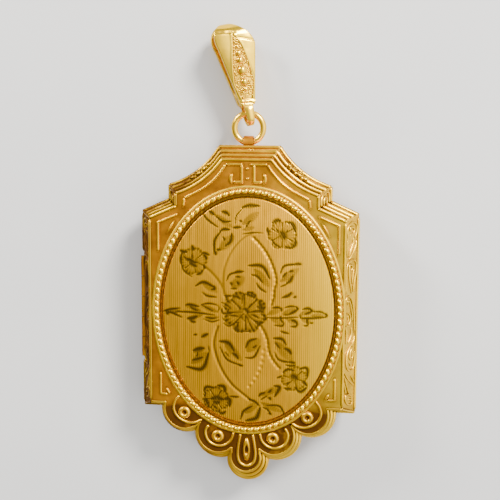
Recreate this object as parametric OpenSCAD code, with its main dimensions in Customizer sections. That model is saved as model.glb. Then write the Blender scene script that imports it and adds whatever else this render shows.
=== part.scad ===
// Oval locket: two hinged covers, a domed oval panel, a beaded rim, a jump ring and a drop bail.
// The case lies on its back: +Z out of the face, +Y towards the bail, X across. Millimetres.

/* [Case] */
// Thickness of the closed case without the dome and the relief
case_h = 7.6; // [6.5:0.1:9]
// Gap between the two covers
cover_gap = 0.08; // [0.05:0.01:0.15]
// Width of the case at the parting line
case_w = 31.7; // [30:0.1:33]
// How far each side wall leans in from the parting line to the face
side_lean = 1.9; // [1.2:0.1:2.2]
// Height of the top edge above the oval's centre, at the parting line
top_y = 23.4; // [22.5:0.1:24.5]
// How far the top wall leans in
top_lean = 1.8; // [1.2:0.1:2.2]
// Half the width of the shoulders at the parting line
shoulder_x = 11.8; // [11:0.1:12.2]
// How far a shoulder's side wall leans in
shoulder_lean = 1.7; // [1.2:0.1:1.9]
// Height of the step's inner end at the parting line
step_y = 15.6; // [14.5:0.1:16.5]
// Drop of the step from the shoulder to the side, in mm for each mm across
step_slope = 0.447; // [0.3:0.01:0.6]
// Depth of the bottom corners below the oval's centre, at the parting line
corner_y = 15.5; // [14.5:0.1:16]
// How far the bottom corners' wall leans in
corner_lean = 1.5; // [1:0.1:2]
// Radius of the two hollows beside the top
scoop_r = 13; // [12:0.1:14]

/* [Panel and rim] */
// Half width of the oval line of beads
oval_a = 13.35; // [12.5:0.01:13.5]
// Half height of the oval line of beads
oval_b = 17.56; // [16.8:0.01:17.8]
// How far the oval's centre lies to the right of the case's middle
oval_x = 0.28; // [-0.3:0.01:0.3]
// How far the oval's centre lies above the middle of the case's straight sides
oval_y = -0.15; // [-0.3:0.01:0.3]
// Thickness of the domed panel at its edge
panel_t = 0.7; // [0.5:0.05:0.9]
// Rise of the panel's middle over its edge
panel_rise = 1.1; // [0.6:0.05:1.4]
// Number of beads round the oval
bead_count = 102; // [90:2:120]
// Width of the beaded rim
rim_w = 0.95; // [0.7:0.05:1.1]
// Height of the beads over the face
bead_h = 0.55; // [0.4:0.05:0.7]

/* [Inside] */
// Width of the wall of metal left between the beads' oval and the picture space
rim_inset = 1.35; // [1.2:0.05:1.8]
// Thickness of the back cover's floor
floor_t = 0.9; // [0.7:0.1:1.4]
// Height of the lip that centres the front cover
lip_h = 0.5; // [0.3:0.05:0.7]
// Clearance round the lip
lip_gap = 0.25; // [0.2:0.05:0.3]

/* [Hinge] */
// Radius of the hinge barrel
barrel_r = 0.5; // [0.45:0.01:0.55]
// Length of the hinge barrel
barrel_l = 15.2; // [12:0.1:17]
// Place of the barrel's middle along the side
barrel_y = -0.5; // [-2:0.1:1]
// Number of knuckles, the outer ones on the back cover
knuckles = 5; // [3:2:7]
// Gap between two knuckles
knuckle_gap = 0.1; // [0.06:0.01:0.15]
// Radius of the hinge pin
pin_r = 0.26; // [0.24:0.01:0.28]
// Radius of the bore for the pin
bore_r = 0.30; // [0.28:0.01:0.33]

/* [Ring and bail] */
// Radius of the jump ring to the middle of its wire
ring_r = 2.1; // [1.9:0.05:2.3]
// Radius of the ring's wire
wire_r = 0.45; // [0.35:0.01:0.5]
// Height of the stud's hole above the table
ring_z = 3.0; // [2.7:0.05:3.2]
// How far the bail leans to the left
bail_lean = 12.5; // [0:0.5:20]
// How far the bail's top hangs down to the table
bail_drop = 2.6; // [0:0.1:3]
// How far the bail rolls to its right, which lifts its left edge
bail_roll = 20; // [0:1:20]
// Length of the bail from its tip to the centre of its wide end
bail_l = 12.1; // [10:0.1:13]
// Half the bail's greatest width
bail_half = 2.8; // [2.5:0.1:3.4]
// Half the bail's thickness at the fold
fold_r = 1.65; // [1.4:0.05:1.8]
// Thickness of the bail's strap
strap_t = 0.55; // [0.45:0.05:0.7]

/* [Hidden] */
$fn = 96;
eps = 0.01;
rose = [0.80, 0.52, 0.28];
yellow = [0.83, 0.66, 0.30];
bright = [0.93, 0.76, 0.42];

part_z = (case_h + 0.18) / 2;
back_top = part_z - cover_gap / 2;
front_bottom = part_z + cover_gap / 2;
side_x = case_w / 2;

// The stud's hole, the ring's middle and the ring's far wire, which carries the bail.
stud_x = -0.3;
stud_y = top_y + 0.55;
ring_y = stud_y + ring_r;
bail_x = stud_x - 0.1;
bail_y = ring_y + ring_r;
eye_r = 1.25;
eye_strap = 0.47;
bail_hang = 1.85;

// Beads down the bail's front: place along the bail and radius.
BAIL_BEADS = [[10.2, 0.3], [9.3, 0.36], [7.9, 0.5], [6.1, 0.36]];

// The hinge's axis lies on the side walls' edge, a little inside it.
hinge_x = -side_x + 0.12;
barrel_clear = barrel_r + 0.1;
knuckle_l = (barrel_l - (knuckles - 1) * knuckle_gap) / knuckles;

// Lobes at the bottom: centre x, centre y and radius at the parting line, then at the face.
LX = 0;
LY = 1;
LR = 2;
FX = 3;
FY = 4;
FR = 5;
LOBES = [
    [9.40, -15.95, 3.52, 9.10, -15.10, 2.85],
    [4.12, -19.50, 3.77, 4.10, -18.40, 2.95],
    [0.00, -23.75, 2.90, 0.00, -21.95, 2.10],
];

// The neck above the middle lobe: its upper end and how much narrower it is on each side.
neck_top_y = -17;
neck_in = 0.12;

// Raised lines on the right half of the frame; the left half mirrors them. Rows are x and y.
BORDER = [[13.0, 8.4], [13.0, 12.6], [10.1, 13.85]];
SPIKE = [[10.6, 12.9], [11.65, 11.1]];
CORNER = [[12.75, -9.5], [12.75, -12.75], [11.7, -12.85]];
CORNER_HOOK = [[11.9, -11.9], [11.4, -12.8]];
KEY = [[0.88, 21.05], [0.88, 18.57], [2.1, 18.57]];
KEY_HOOK = [[2.3, 18.35], [2.48, 19.0], [2.25, 19.75]];
OUTER_U = [
    [9.95, -12.95], [10.55, -13.7], [10.85, -14.75], [10.6, -15.7], [9.95, -16.45],
    [9.1, -16.9], [8.3, -17.05], [7.4, -16.9], [6.6, -16.45],
];
INNER_U = [
    [5.6, -17.25], [6.05, -18.0], [6.05, -18.75], [5.7, -19.6], [5.0, -20.15],
    [4.0, -20.37], [3.05, -20.1], [2.35, -19.45], [2.05, -18.7], [1.95, -18.2],
];
MIDDLE_U = [[0.9, -18.4], [1.15, -19.8], [1.3, -21.3], [1.15, -22.4], [0.7, -23.0], [0, -23.25]];
// The line that runs from the key along the hollow and down the shoulder.
HOLLOW_LINE = [
    [0.5, 21.05], [3.0, 21.05], [3.45, 20.3], [4.25, 19.3], [5.2, 18.35], [6.3, 17.55],
    [7.6, 16.85], [8.95, 16.15], [9.1, 14.9],
];
// How far the raised lines, but for the line along the hollow, lie to the right of the middle.
relief_x = 0.2;
// Eyelets on the side lobes: centre x and y.
EYELETS = [[9.05, -15.5], [4.06, -18.88]];
eyelet_r = 0.95;
eyelet_hole_r = 0.36;
relief_h = 0.16;
line_w = 0.3;

panel_a = oval_a - rim_w / 2 - 0.06;
panel_b = oval_b - rim_w / 2 - 0.06;
opening_a = oval_a - rim_inset;
opening_b = oval_b - rim_inset;
lip_a = opening_a - lip_gap;
lip_b = opening_b - lip_gap;
lip_w = 0.5;
seat_z = case_h - 0.55;

// A solid between the convex outline low at z = 0 and the outline high at z = h, point for point.
module frustum(low, high, h) {
    n = len(low);
    points = concat([for (p = low) [p[0], p[1], 0]], [for (p = high) [p[0], p[1], h]]);
    sides = [for (i = [0 : n - 1]) [i, n + i, n + (i + 1) % n, (i + 1) % n]];
    ends = [[for (i = [0 : n - 1]) i], [for (i = [n - 1 : -1 : 0]) n + i]];
    polyhedron(points, concat(sides, ends));
}

// The outline's wide part: straight sides and a roof whose slopes are the two steps.
function wide_outline(x, bottom, step_x, step_top) =
    let (eaves = step_top - step_slope * (x - step_x))
    let (ridge = step_top + step_slope * step_x)
    [[x, bottom], [x, eaves], [0, ridge], [-x, eaves], [-x, bottom]];

// The outline's upper part, from the middle of the oval to the top edge.
function upper_outline(x, top) = [[x, 0], [x, top], [-x, top], [-x, 0]];

// A cone whose two ends need not lie over each other.
module leaning_cone(low, low_r, high, high_r, h) {
    lean = (high - low) / h;
    translate([low[0], low[1], 0])
        multmatrix([[1, 0, lean[0], 0], [0, 1, lean[1], 0], [0, 0, 1, 0], [0, 0, 0, 1]])
            cylinder(h = h, r1 = low_r, r2 = high_r);
}

module oval_cylinder(a, b, h) {
    linear_extrude(height = h)
        scale([1, b / a])
            circle(r = a, $fn = 180);
}

// The straight-walled part of a cover, from the top edge to the bottom corners.
module body_block(h) {
    face_shoulder = shoulder_x - shoulder_lean;
    face_step = step_y - 0.7;
    frustum(
        wide_outline(side_x, -corner_y, shoulder_x, step_y),
        wide_outline(side_x - side_lean, -corner_y + corner_lean, face_shoulder, face_step),
        h);
    frustum(
        upper_outline(shoulder_x, top_y),
        upper_outline(face_shoulder, top_y - top_lean),
        h);
}

module lobe(row, side, h) {
    leaning_cone([side * row[LX], row[LY]], row[LR], [side * row[FX], row[FY]], row[FR], h);
}

// The straight part above the middle lobe, a little narrower than the lobe.
module middle_neck(h) {
    row = LOBES[2];
    low_x = row[LR] - neck_in;
    high_x = row[FR] - neck_in;
    low = [[-low_x, row[LY]], [low_x, row[LY]], [low_x, neck_top_y], [-low_x, neck_top_y]];
    high = [[-high_x, row[FY]], [high_x, row[FY]], [high_x, neck_top_y], [-high_x, neck_top_y]];
    frustum(low, high, h);
}

// One cover as a plain block: wide at z = 0, the parting line, and narrow at z = h, the face.
module cover_block(h) {
    difference() {
        union() {
            body_block(h);
            leaning_cone([0, -7.8], 11.7, [0, -7.8], 10.5, h);
            for (side = [-1, 1])
                for (i = [0 : 1])
                    lobe(LOBES[i], side, h);
            lobe(LOBES[2], 1, h);
            middle_neck(h);
        }
        for (side = [-1, 1])
            translate([0, 0, -eps])
                leaning_cone([side * 15.5, 30.2], scoop_r, [side * 14.1, 29.1], scoop_r, h + 2 * eps);
    }
}

module hinge_bar(r, from, to) {
    translate([hinge_x, from, part_z])
        rotate([-90, 0, 0])
            cylinder(h = to - from, r = r);
}

function knuckle_start(i) = barrel_y - barrel_l / 2 + i * (knuckle_l + knuckle_gap);

module own_knuckles(first) {
    for (i = [first : 2 : knuckles - 1])
        hinge_bar(barrel_r, knuckle_start(i), knuckle_start(i) + knuckle_l);
}

module room_for_knuckles(first) {
    for (i = [first : 2 : knuckles - 1])
        hinge_bar(barrel_clear, knuckle_start(i) - knuckle_gap, knuckle_start(i) + knuckle_l + knuckle_gap);
}

module hinge_side_trim() {
    translate([hinge_x - 2, -30, part_z - 2])
        cube([2, 60, 4]);
}

module pin_bore() {
    hinge_bar(bore_r, knuckle_start(0) - 1, knuckle_start(knuckles - 1) + knuckle_l + 1);
}

module stud_eye() {
    translate([stud_x, stud_y, ring_z])
        rotate([0, 90, 0])
            cylinder(h = 1.4, r = 0.95, center = true);
    translate([stud_x - 0.7, top_y - 1.0, ring_z - 0.9])
        cube([1.4, 1.5, 1.5]);
}

module back_cover() {
    color(rose)
    difference() {
        union() {
            difference() {
                translate([0, 0, back_top])
                    mirror([0, 0, 1])
                        cover_block(back_top);
                hinge_side_trim();
                room_for_knuckles(1);
            }
            translate([oval_x, oval_y, floor_t / 2])
                oval_cylinder(lip_a, lip_b, back_top + lip_h - floor_t / 2);
            own_knuckles(0);
            stud_eye();
        }
        translate([oval_x, oval_y, floor_t])
            oval_cylinder(lip_a - lip_w, lip_b - lip_w, case_h);
        pin_bore();
        translate([stud_x, stud_y, ring_z])
            rotate([0, 90, 0])
                cylinder(h = 4, r = 0.66, center = true);
    }
}

module line(path) {
    for (i = [0 : len(path) - 2])
        let (d = path[i + 1] - path[i])
        translate(path[i])
            rotate(atan2(d[1], d[0]))
                translate([-line_w / 2, -line_w / 2])
                    square([norm(d) + line_w, line_w]);
}

// The raised lines of one half of the frame, as a flat drawing.
module relief_half() {
    for (path = [BORDER, SPIKE, CORNER, CORNER_HOOK, KEY, KEY_HOOK, OUTER_U, INNER_U, MIDDLE_U])
        line(path);
}

// The long line and the eyelets of one half of the frame, as a flat drawing.
module outer_half() {
    line(HOLLOW_LINE);
    for (centre = EYELETS)
        translate(centre)
            difference() {
                circle(r = eyelet_r);
                circle(r = eyelet_hole_r);
            }
}

module relief() {
    translate([0, 0, case_h - 0.1])
        linear_extrude(height = relief_h + 0.1)
            for (side = [0, 1]) {
                translate([relief_x, 0])
                    mirror([side, 0])
                        relief_half();
                mirror([side, 0])
                    outer_half();
            }
}

module front_frame() {
    color(rose)
    difference() {
        union() {
            difference() {
                translate([0, 0, front_bottom])
                    cover_block(case_h - front_bottom);
                hinge_side_trim();
                room_for_knuckles(0);
            }
            own_knuckles(1);
            relief();
        }
        pin_bore();
        translate([oval_x, oval_y, 0])
            oval_cylinder(opening_a, opening_b, case_h + 1);
        translate([oval_x, oval_y, seat_z])
            oval_cylinder(panel_a + 0.05, panel_b + 0.05, 2);
    }
}

// An oval disc with a domed top, h high at the edge and h + rise in the middle.
// The dome is the top of a barrel that lies along Y.
module domed_oval(a, b, h, rise) {
    across_r = (a * a + rise * rise) / (2 * rise);
    along_r = (b * b + rise * rise) / (2 * rise);
    intersection() {
        oval_cylinder(a, b, h + rise + 1);
        translate([0, 0, h + rise - across_r])
            rotate([90, 0, 0])
                rotate_extrude($fn = 360)
                    intersection() {
                        translate([across_r - along_r, 0])
                            circle(r = along_r, $fn = 720);
                        translate([across_r - 10, -b - 1])
                            square([12, 2 * b + 2]);
                    }
    }
}

module front_panel() {
    color(yellow)
    translate([oval_x, oval_y, seat_z + 0.03])
        difference() {
            domed_oval(panel_a, panel_b, panel_t, panel_rise);
            translate([0, 0, -1])
                domed_oval(panel_a - 1, panel_b - 1, 1, panel_rise - 0.15);
        }
}

// A point on the line of beads, its outward direction, and the place s of 360 spread evenly along it.
function even(s) = s - (oval_b - oval_a) / (oval_b + oval_a) / 2 * sin(2 * s) * 180 / PI;
function on_oval(s) = [oval_a * cos(even(s)), oval_b * sin(even(s))];
function out_of_oval(s) =
    let (d = [oval_b * cos(even(s)), oval_a * sin(even(s))])
    d / norm(d);

// The rim's section at the place s: points as [across, up], the inner half swelling to each bead.
function rim_section(s) =
    let (swell = pow(abs(cos(s * bead_count / 2)), 0.7))
    let (bead = 0.24 + (bead_h - 0.24) * swell)
    [
        [-rim_w / 2 + 0.08, 0],
        [rim_w / 2, 0],
        [rim_w / 2 - 0.14, 0.40],
        [rim_w / 2 - 0.30, 0.22],
        [-0.12, bead],
        [-rim_w / 2, 0.55 * bead],
    ];

module beaded_rim() {
    places = 2 * bead_count;
    n = 6;
    points = [
        for (i = [0 : places - 1])
            let (s = i * 360 / places)
            for (q = rim_section(s))
                let (p = on_oval(s) + q[0] * out_of_oval(s))
                [p[0], p[1], q[1]],
    ];
    faces = [
        for (i = [0 : places - 1])
            for (k = [0 : n - 1])
                let (j = (i + 1) % places)
                let (m = (k + 1) % n)
                for (f = [[i * n + k, i * n + m, j * n + m], [i * n + k, j * n + m, j * n + k]])
                    f,
    ];
    color(rose)
    translate([oval_x, oval_y, case_h + 0.03])
        polyhedron(points, faces);
}

module hinge_pin() {
    color(rose)
        hinge_bar(pin_r, knuckle_start(0) + 0.05, knuckle_start(knuckles - 1) + knuckle_l - 0.05);
}

module jump_ring() {
    color(bright)
    translate([stud_x, ring_y, ring_z])
        rotate_extrude()
            translate([ring_r, 0])
                circle(r = wire_r);
}

// The bail seen from the side, with its length up and its thickness across.
module bail_side() {
    difference() {
        hull() {
            translate([bail_l + bail_half - fold_r, 0])
                circle(r = fold_r);
            translate([eye_r, 0])
                circle(r = eye_r);
        }
        hull() {
            translate([bail_l + bail_half - fold_r, 0])
                circle(r = fold_r - strap_t);
            translate([5, 0])
                circle(r = 0.35);
        }
        hull() {
            translate([eye_r, 0])
                circle(r = eye_r - eye_strap);
            translate([eye_r + 0.9, 0])
                circle(r = eye_r - eye_strap);
        }
    }
}

// The bail seen from the front: a drop, narrow at the ring and wide at the fold.
module bail_front() {
    hull() {
        translate([0.5, 0])
            circle(r = 0.5);
        translate([bail_l, 0])
            circle(r = bail_half);
    }
}

// Height of the bail's front over its middle, at the place v along it.
function bail_front_z(v) = eye_r + (fold_r - eye_r) * (v - eye_r) / (bail_l + bail_half - fold_r - eye_r);

module bail() {
    color(bright)
    translate([bail_x, bail_y, ring_z])
        rotate([bail_roll, bail_drop, 90 + bail_lean])
            translate([-bail_hang, 0, 0]) {
                intersection() {
                    rotate([90, 0, 0])
                        linear_extrude(height = 3 * bail_half, center = true)
                            bail_side();
                    linear_extrude(height = 4 * fold_r, center = true)
                        bail_front();
                }
                for (row = BAIL_BEADS)
                    translate([row[0], 0, bail_front_z(row[0]) + 0.1])
                        sphere(r = row[1], $fn = 24);
            }
}

back_cover();
front_frame();
front_panel();
beaded_rim();
hinge_pin();
jump_ring();
bail();
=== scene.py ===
"""Looks of the oval locket: engraved panel, beaded rim, cast lines, wall mouldings and bail."""
import math
from collections import namedtuple

import bpy
import bmesh
import numpy as np
from mathutils import Matrix, Vector

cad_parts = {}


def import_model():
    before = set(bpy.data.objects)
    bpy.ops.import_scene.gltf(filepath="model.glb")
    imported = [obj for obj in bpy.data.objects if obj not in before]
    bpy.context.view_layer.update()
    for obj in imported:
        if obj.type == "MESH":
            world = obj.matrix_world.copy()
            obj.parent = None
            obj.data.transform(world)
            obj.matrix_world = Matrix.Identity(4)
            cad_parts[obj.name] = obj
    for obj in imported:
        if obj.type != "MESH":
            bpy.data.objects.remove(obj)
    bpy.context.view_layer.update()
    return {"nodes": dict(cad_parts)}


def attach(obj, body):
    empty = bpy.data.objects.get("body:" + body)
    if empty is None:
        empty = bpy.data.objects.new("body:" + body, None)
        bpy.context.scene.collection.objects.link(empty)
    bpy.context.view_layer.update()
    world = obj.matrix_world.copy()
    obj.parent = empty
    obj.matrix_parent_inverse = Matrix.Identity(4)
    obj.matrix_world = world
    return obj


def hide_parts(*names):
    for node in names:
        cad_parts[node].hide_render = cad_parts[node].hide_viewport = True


MM = 0.001

# Sizes that part.scad holds too, in millimetres.
FACE_Z = 7.6
FRONT_BOTTOM = 3.93
BACK_TOP = 3.85
SIDE_X, SIDE_LEAN = 15.85, 1.9
TOP_Y, TOP_LEAN = 23.4, 1.8
SHOULDER_X, SHOULDER_LEAN = 11.8, 1.7
STEP_Y, FACE_STEP_Y, STEP_SLOPE = 15.6, 14.9, 0.447
CORNER_Y, CORNER_LEAN = 15.5, 1.5
SCOOP_R = 13.0
SCOOP_LOW, SCOOP_HIGH = (15.5, 30.2), (14.1, 29.1)
LOBES_LOW = ((9.40, -15.95, 3.52), (4.12, -19.50, 3.77), (0.0, -23.75, 2.90))
LOBES_HIGH = ((9.10, -15.10, 2.85), (4.10, -18.40, 2.95), (0.0, -21.95, 2.10))
NECK_IN = 0.12
OVAL_A, OVAL_B = 13.35, 17.56
OVAL_X, OVAL_Y = 0.28, -0.15
BEAD_COUNT = 102
RELIEF_X = 0.2
RING_Z = 3.0
BAIL_X, BAIL_Y, BAIL_HANG = -0.4, 28.15, 1.85
BAIL_ROLL, BAIL_DROP, BAIL_LEAN = 20, 2.6, 12.5
BAIL_L, BAIL_HALF, FOLD_R, EYE_R = 12.1, 2.8, 1.65, 1.25

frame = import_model()


# Meshes made of closed solids

class Build:
    """Collects points, faces and a value for each point of wear and painted shade: 0 in a recess, where
    patina and painted shade darken it, 1 on a polished top.
    """

    def __init__(self):
        self.points = []
        self.faces = []
        self.wear = []
        self.count = 0

    def add(self, points, faces, wear):
        self.points.append(np.asarray(points, float).reshape(-1, 3))
        self.faces.extend(tuple(int(i) + self.count for i in face) for face in faces)
        self.wear.append(np.asarray(wear, float).ravel())
        self.count += len(self.points[-1])

    def object(self, name, body, material):
        points = np.vstack(self.points) * MM
        mesh = bpy.data.meshes.new(name)
        mesh.from_pydata(points.tolist(), [], self.faces)
        mesh.validate()
        wear = mesh.attributes.new("wear", "FLOAT", "POINT")
        wear.data.foreach_set("value", np.concatenate(self.wear).astype(np.float32))
        work = bmesh.new()
        work.from_mesh(mesh)
        bmesh.ops.recalc_face_normals(work, faces=work.faces)
        work.to_mesh(mesh)
        work.free()
        mesh.polygons.foreach_set("use_smooth", np.ones(len(mesh.polygons), bool))
        mesh.materials.append(material)
        piece = bpy.data.objects.new(name, mesh)
        bpy.context.scene.collection.objects.link(piece)
        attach(piece, body)
        return piece


def unit(v):
    v = np.asarray(v, float)
    return v / np.maximum(np.linalg.norm(v, axis=-1, keepdims=True), 1e-12)


def curve(points, step=0.12):
    """A smooth line through the points, as points about step apart."""
    p = np.asarray(points, float)
    ends = np.vstack([2 * p[0] - p[1], p, 2 * p[-1] - p[-2]])
    out = []
    for i in range(1, len(ends) - 2):
        a, b, c, d = ends[i - 1:i + 3]
        n = max(2, int(np.linalg.norm(c - b) / step) + 1)
        t = np.linspace(0, 1, n, endpoint=False)[:, None]
        out.append(0.5 * (2 * b + (c - a) * t + (2 * a - 5 * b + 4 * c - d) * t ** 2
                          + (3 * b - a - 3 * c + d) * t ** 3))
    return np.vstack(out + [p[-1:]])


def bent(points, step=0.12):
    """Straight stretches with sharp corners, as points about step apart."""
    p = np.asarray(points, float)
    out = [p[:1]]
    for a, b in zip(p[:-1], p[1:]):
        n = max(1, int(np.linalg.norm(b - a) / step))
        out.append(a + (b - a) * np.linspace(0, 1, n + 1)[1:, None])
    return np.vstack(out)


def along_line(line):
    """The length of a line up to each of its points."""
    return np.concatenate([[0], np.cumsum(np.linalg.norm(np.diff(line, axis=0), axis=1))])


def rise(value, start, length):
    """0 up to start, then rising to 1 over the length. A length below 0 runs the other way."""
    return np.clip((value - start) / length, 0, 1)


# A strip's section: across in half widths, up in heights.
SECTION = np.array([(-1.0, -0.3), (-0.96, 0.18), (-0.78, 0.58), (-0.42, 0.88), (0.0, 1.0),
                    (0.42, 0.88), (0.78, 0.58), (0.96, 0.18), (1.0, -0.3)])
# Wear and painted shade across the section: patina and painted shade at the strip's foot, polish on its top.
SECTION_WEAR_AND_SHADE = np.array([0.0, 0.35, 0.9, 1.0, 1.0, 1.0, 0.9, 0.35, 0.0])


def strip(build, path, normals, width, height, closed=False, ends="round", wear=1.0):
    """A rounded raised line along path, standing on the surface whose normals are given."""
    path = np.asarray(path, float)
    normals = unit(np.broadcast_to(np.asarray(normals, float), path.shape))
    n = len(path)
    if closed:
        before, after = path - np.roll(path, 1, 0), np.roll(path, -1, 0) - path
    else:
        step = np.diff(path, axis=0)
        before = np.vstack([step[:1], step])
        after = np.vstack([step, step[-1:]])
    d0, d1 = unit(before), unit(after)
    tangent = unit(d0 + d1)
    miter = 1 / np.clip(np.sum(tangent * d1, axis=1), 0.62, 1)
    side = unit(np.cross(normals, tangent))
    width = np.broadcast_to(np.asarray(width, float), (n,)).copy()
    height = np.broadcast_to(np.asarray(height, float), (n,)).copy()
    if not closed and ends != "flat":
        length = along_line(path)
        reach = max(float(width.mean()) * (0.5 if ends == "round" else 2.5), 1e-6)
        near = np.clip(np.minimum(length, length[-1] - length) / reach, 0, 1)
        shape = np.sqrt(np.clip(1 - (1 - near) ** 2, 0.02, 1))
        width *= shape
        height *= np.clip(shape, 0.25, 1)
    k = len(SECTION)
    across = side[:, None] * (SECTION[None, :, 0:1] * (width * miter / 2)[:, None, None])
    up = normals[:, None] * (SECTION[None, :, 1:2] * height[:, None, None])
    points = (path[:, None] + across + up).reshape(-1, 3)
    faces = []
    for i in range(n if closed else n - 1):
        j = (i + 1) % n
        for m in range(k):
            q = (m + 1) % k
            faces.append((i * k + m, i * k + q, j * k + q, j * k + m))
    if not closed:
        faces.append(tuple(range(k)))
        faces.append(tuple((n - 1) * k + m for m in reversed(range(k))))
    build.add(points, faces, np.tile(SECTION_WEAR_AND_SHADE * wear, n))


UP = (0, 0, 1)
# A bead's wear and painted shade at half its height, and what its top adds to it: its underside gets patina
# and painted shade, its top is polished.
BALL_WEAR_AND_SHADE, BALL_TOP_WEAR_AND_SHADE = 0.42, 0.8


def ball(build, centre, radii, turn=0.0, rings=7, around=12, up=UP):
    """A rounded bead, radii along its own x, y and z, turned about its own z."""
    up = Vector(up).normalized()
    basis = np.array(up.to_track_quat("Z", "Y").to_matrix() @ Matrix.Rotation(turn, 3, "Z"))
    points = [(0, 0, -1)]
    for i in range(1, rings):
        a = math.pi * i / rings
        for j in range(around):
            b = 2 * math.pi * j / around
            points.append((math.sin(a) * math.cos(b), math.sin(a) * math.sin(b), -math.cos(a)))
    points.append((0, 0, 1))
    faces = []
    for j in range(around):
        k = (j + 1) % around
        faces.append((0, 1 + k, 1 + j))
        for i in range(rings - 2):
            a, b = 1 + i * around, 1 + (i + 1) * around
            faces.append((a + j, a + k, b + k, b + j))
        last = 1 + (rings - 2) * around
        faces.append((last + j, last + k, len(points) - 1))
    points = np.array(points)
    local = points * np.asarray(radii, float)
    wear = np.clip(BALL_WEAR_AND_SHADE + BALL_TOP_WEAR_AND_SHADE * points[:, 2], 0, 1)
    build.add(local @ basis.T + np.asarray(centre, float), faces, wear)


def lathe(build, profile, wear, centre, scale=(1.0, 1.0), n=36):
    """A boss turned about its own z; the profile runs from its middle's bottom to its outer edge."""
    points, faces = [], []
    for r, z in profile:
        for j in range(n):
            a = 2 * math.pi * j / n
            points.append((centre[0] + scale[0] * r * math.cos(a),
                           centre[1] + scale[1] * r * math.sin(a), centre[2] + z))
    for i in range(len(profile) - 1):
        for j in range(n):
            k = (j + 1) % n
            faces.append((i * n + j, i * n + k, (i + 1) * n + k, (i + 1) * n + j))
    faces.append(tuple(reversed(range(n))))
    faces.append(tuple((len(profile) - 1) * n + j for j in range(n)))
    build.add(points, faces, np.repeat(wear, n))


def on_face(xy, z=FACE_Z):
    """Flat points raised to the frame's face."""
    xy = np.asarray(xy, float)
    return np.column_stack([xy, np.full(len(xy), z)])


def mirrored(points):
    """Points or directions of the right half, turned over to the left."""
    return np.asarray(points, float) * np.array([-1] + [1] * (np.shape(points)[-1] - 1))


# The case's walls: each stretch runs from t = 0 to 1, u is 0 at the face and 1 at the parting line

def circle_at_y(centre, r, y, side):
    return centre[0] + side * math.sqrt(r * r - (y - centre[1]) ** 2)


def circle_at_x(centre, r, x, side):
    return centre[1] + side * math.sqrt(r * r - (x - centre[0]) ** 2)


def crossing(a, b):
    """The lower crossing of two circles, each given as x, y and radius."""
    p, q = np.array(a[:2]), np.array(b[:2])
    d = np.linalg.norm(q - p)
    along = (d * d + a[2] ** 2 - b[2] ** 2) / (2 * d)
    off = math.sqrt(max(a[2] ** 2 - along ** 2, 0))
    e = (q - p) / d
    both = [p + e * along + off * s * np.array([-e[1], e[0]]) for s in (-1, 1)]
    return min(both, key=lambda c: c[1])


def straight(a, b):
    a, b = np.asarray(a, float), np.asarray(b, float)
    return lambda t: a + (b - a) * np.asarray(t, float)[..., None]


def arc(centre, r, a, b, clockwise):
    """An arc from the point a to the point b."""
    a0 = math.atan2(a[1] - centre[1], a[0] - centre[0])
    a1 = math.atan2(b[1] - centre[1], b[0] - centre[0])
    if clockwise and a1 > a0:
        a1 -= 2 * math.pi
    if not clockwise and a1 < a0:
        a1 += 2 * math.pi

    def place(t):
        angle = a0 + (a1 - a0) * np.asarray(t, float)
        return np.stack([centre[0] + r * np.cos(angle), centre[1] + r * np.sin(angle)], -1)

    return place


def stretches(level):
    """The right half's outline at the parting line or at the face, from the top's middle to the bottom's."""
    low = level == "low"
    side = SIDE_X if low else SIDE_X - SIDE_LEAN
    top = TOP_Y if low else TOP_Y - TOP_LEAN
    shoulder = SHOULDER_X if low else SHOULDER_X - SHOULDER_LEAN
    step = STEP_Y if low else FACE_STEP_Y
    corner = -CORNER_Y if low else -CORNER_Y + CORNER_LEAN
    scoop = SCOOP_LOW if low else SCOOP_HIGH
    lobes = LOBES_LOW if low else LOBES_HIGH
    a = (circle_at_y(scoop, SCOOP_R, top, -1), top)
    b = (shoulder, circle_at_x(scoop, SCOOP_R, shoulder, -1))
    c = (shoulder, step)
    d = (side, step - STEP_SLOPE * (side - shoulder))
    e = (side, corner)
    f = (circle_at_y(lobes[0][:2], lobes[0][2], corner, 1), corner)
    g = crossing(lobes[0], lobes[1])
    if low:
        h = neck = crossing(lobes[1], lobes[2])
    else:
        neck_x = lobes[2][2] - NECK_IN
        h = (neck_x, circle_at_x(lobes[1][:2], lobes[1][2], neck_x, -1))
        neck = (neck_x, circle_at_x(lobes[2][:2], lobes[2][2], neck_x, 1))
    end = (0.0, lobes[2][1] - lobes[2][2])
    return {
        "top": straight((0, top), a),
        "hollow": arc(scoop, SCOOP_R, a, b, False),
        "shoulder": straight(b, c),
        "step": straight(c, d),
        "side": straight(d, e),
        "corner": straight(e, f),
        "lobe0": arc(lobes[0][:2], lobes[0][2], f, g, True),
        "lobe1": arc(lobes[1][:2], lobes[1][2], g, h, True),
        "neck": straight(h, neck),
        "lobe2": arc(lobes[2][:2], lobes[2][2], neck, end, True),
    }


LOW, HIGH = stretches("low"), stretches("high")
ORDER = ["top", "hollow", "shoulder", "step", "side", "corner", "lobe0", "lobe1", "neck", "lobe2"]
POINTS = {"top": 12, "hollow": 36, "shoulder": 6, "step": 12, "side": 60, "corner": 8,
          "lobe0": 40, "lobe1": 40, "neck": 4, "lobe2": 24}


def wall(name, t, u, back=False):
    """A point of the right half's wall. The back cover's wall is the front's, turned over."""
    t, u = np.broadcast_arrays(np.asarray(t, float), np.asarray(u, float))
    xy = HIGH[name](t) * (1 - u[..., None]) + LOW[name](t) * u[..., None]
    z = BACK_TOP * u if back else FACE_Z + (FRONT_BOTTOM - FACE_Z) * u
    return np.concatenate([xy, z[..., None]], -1)


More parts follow.
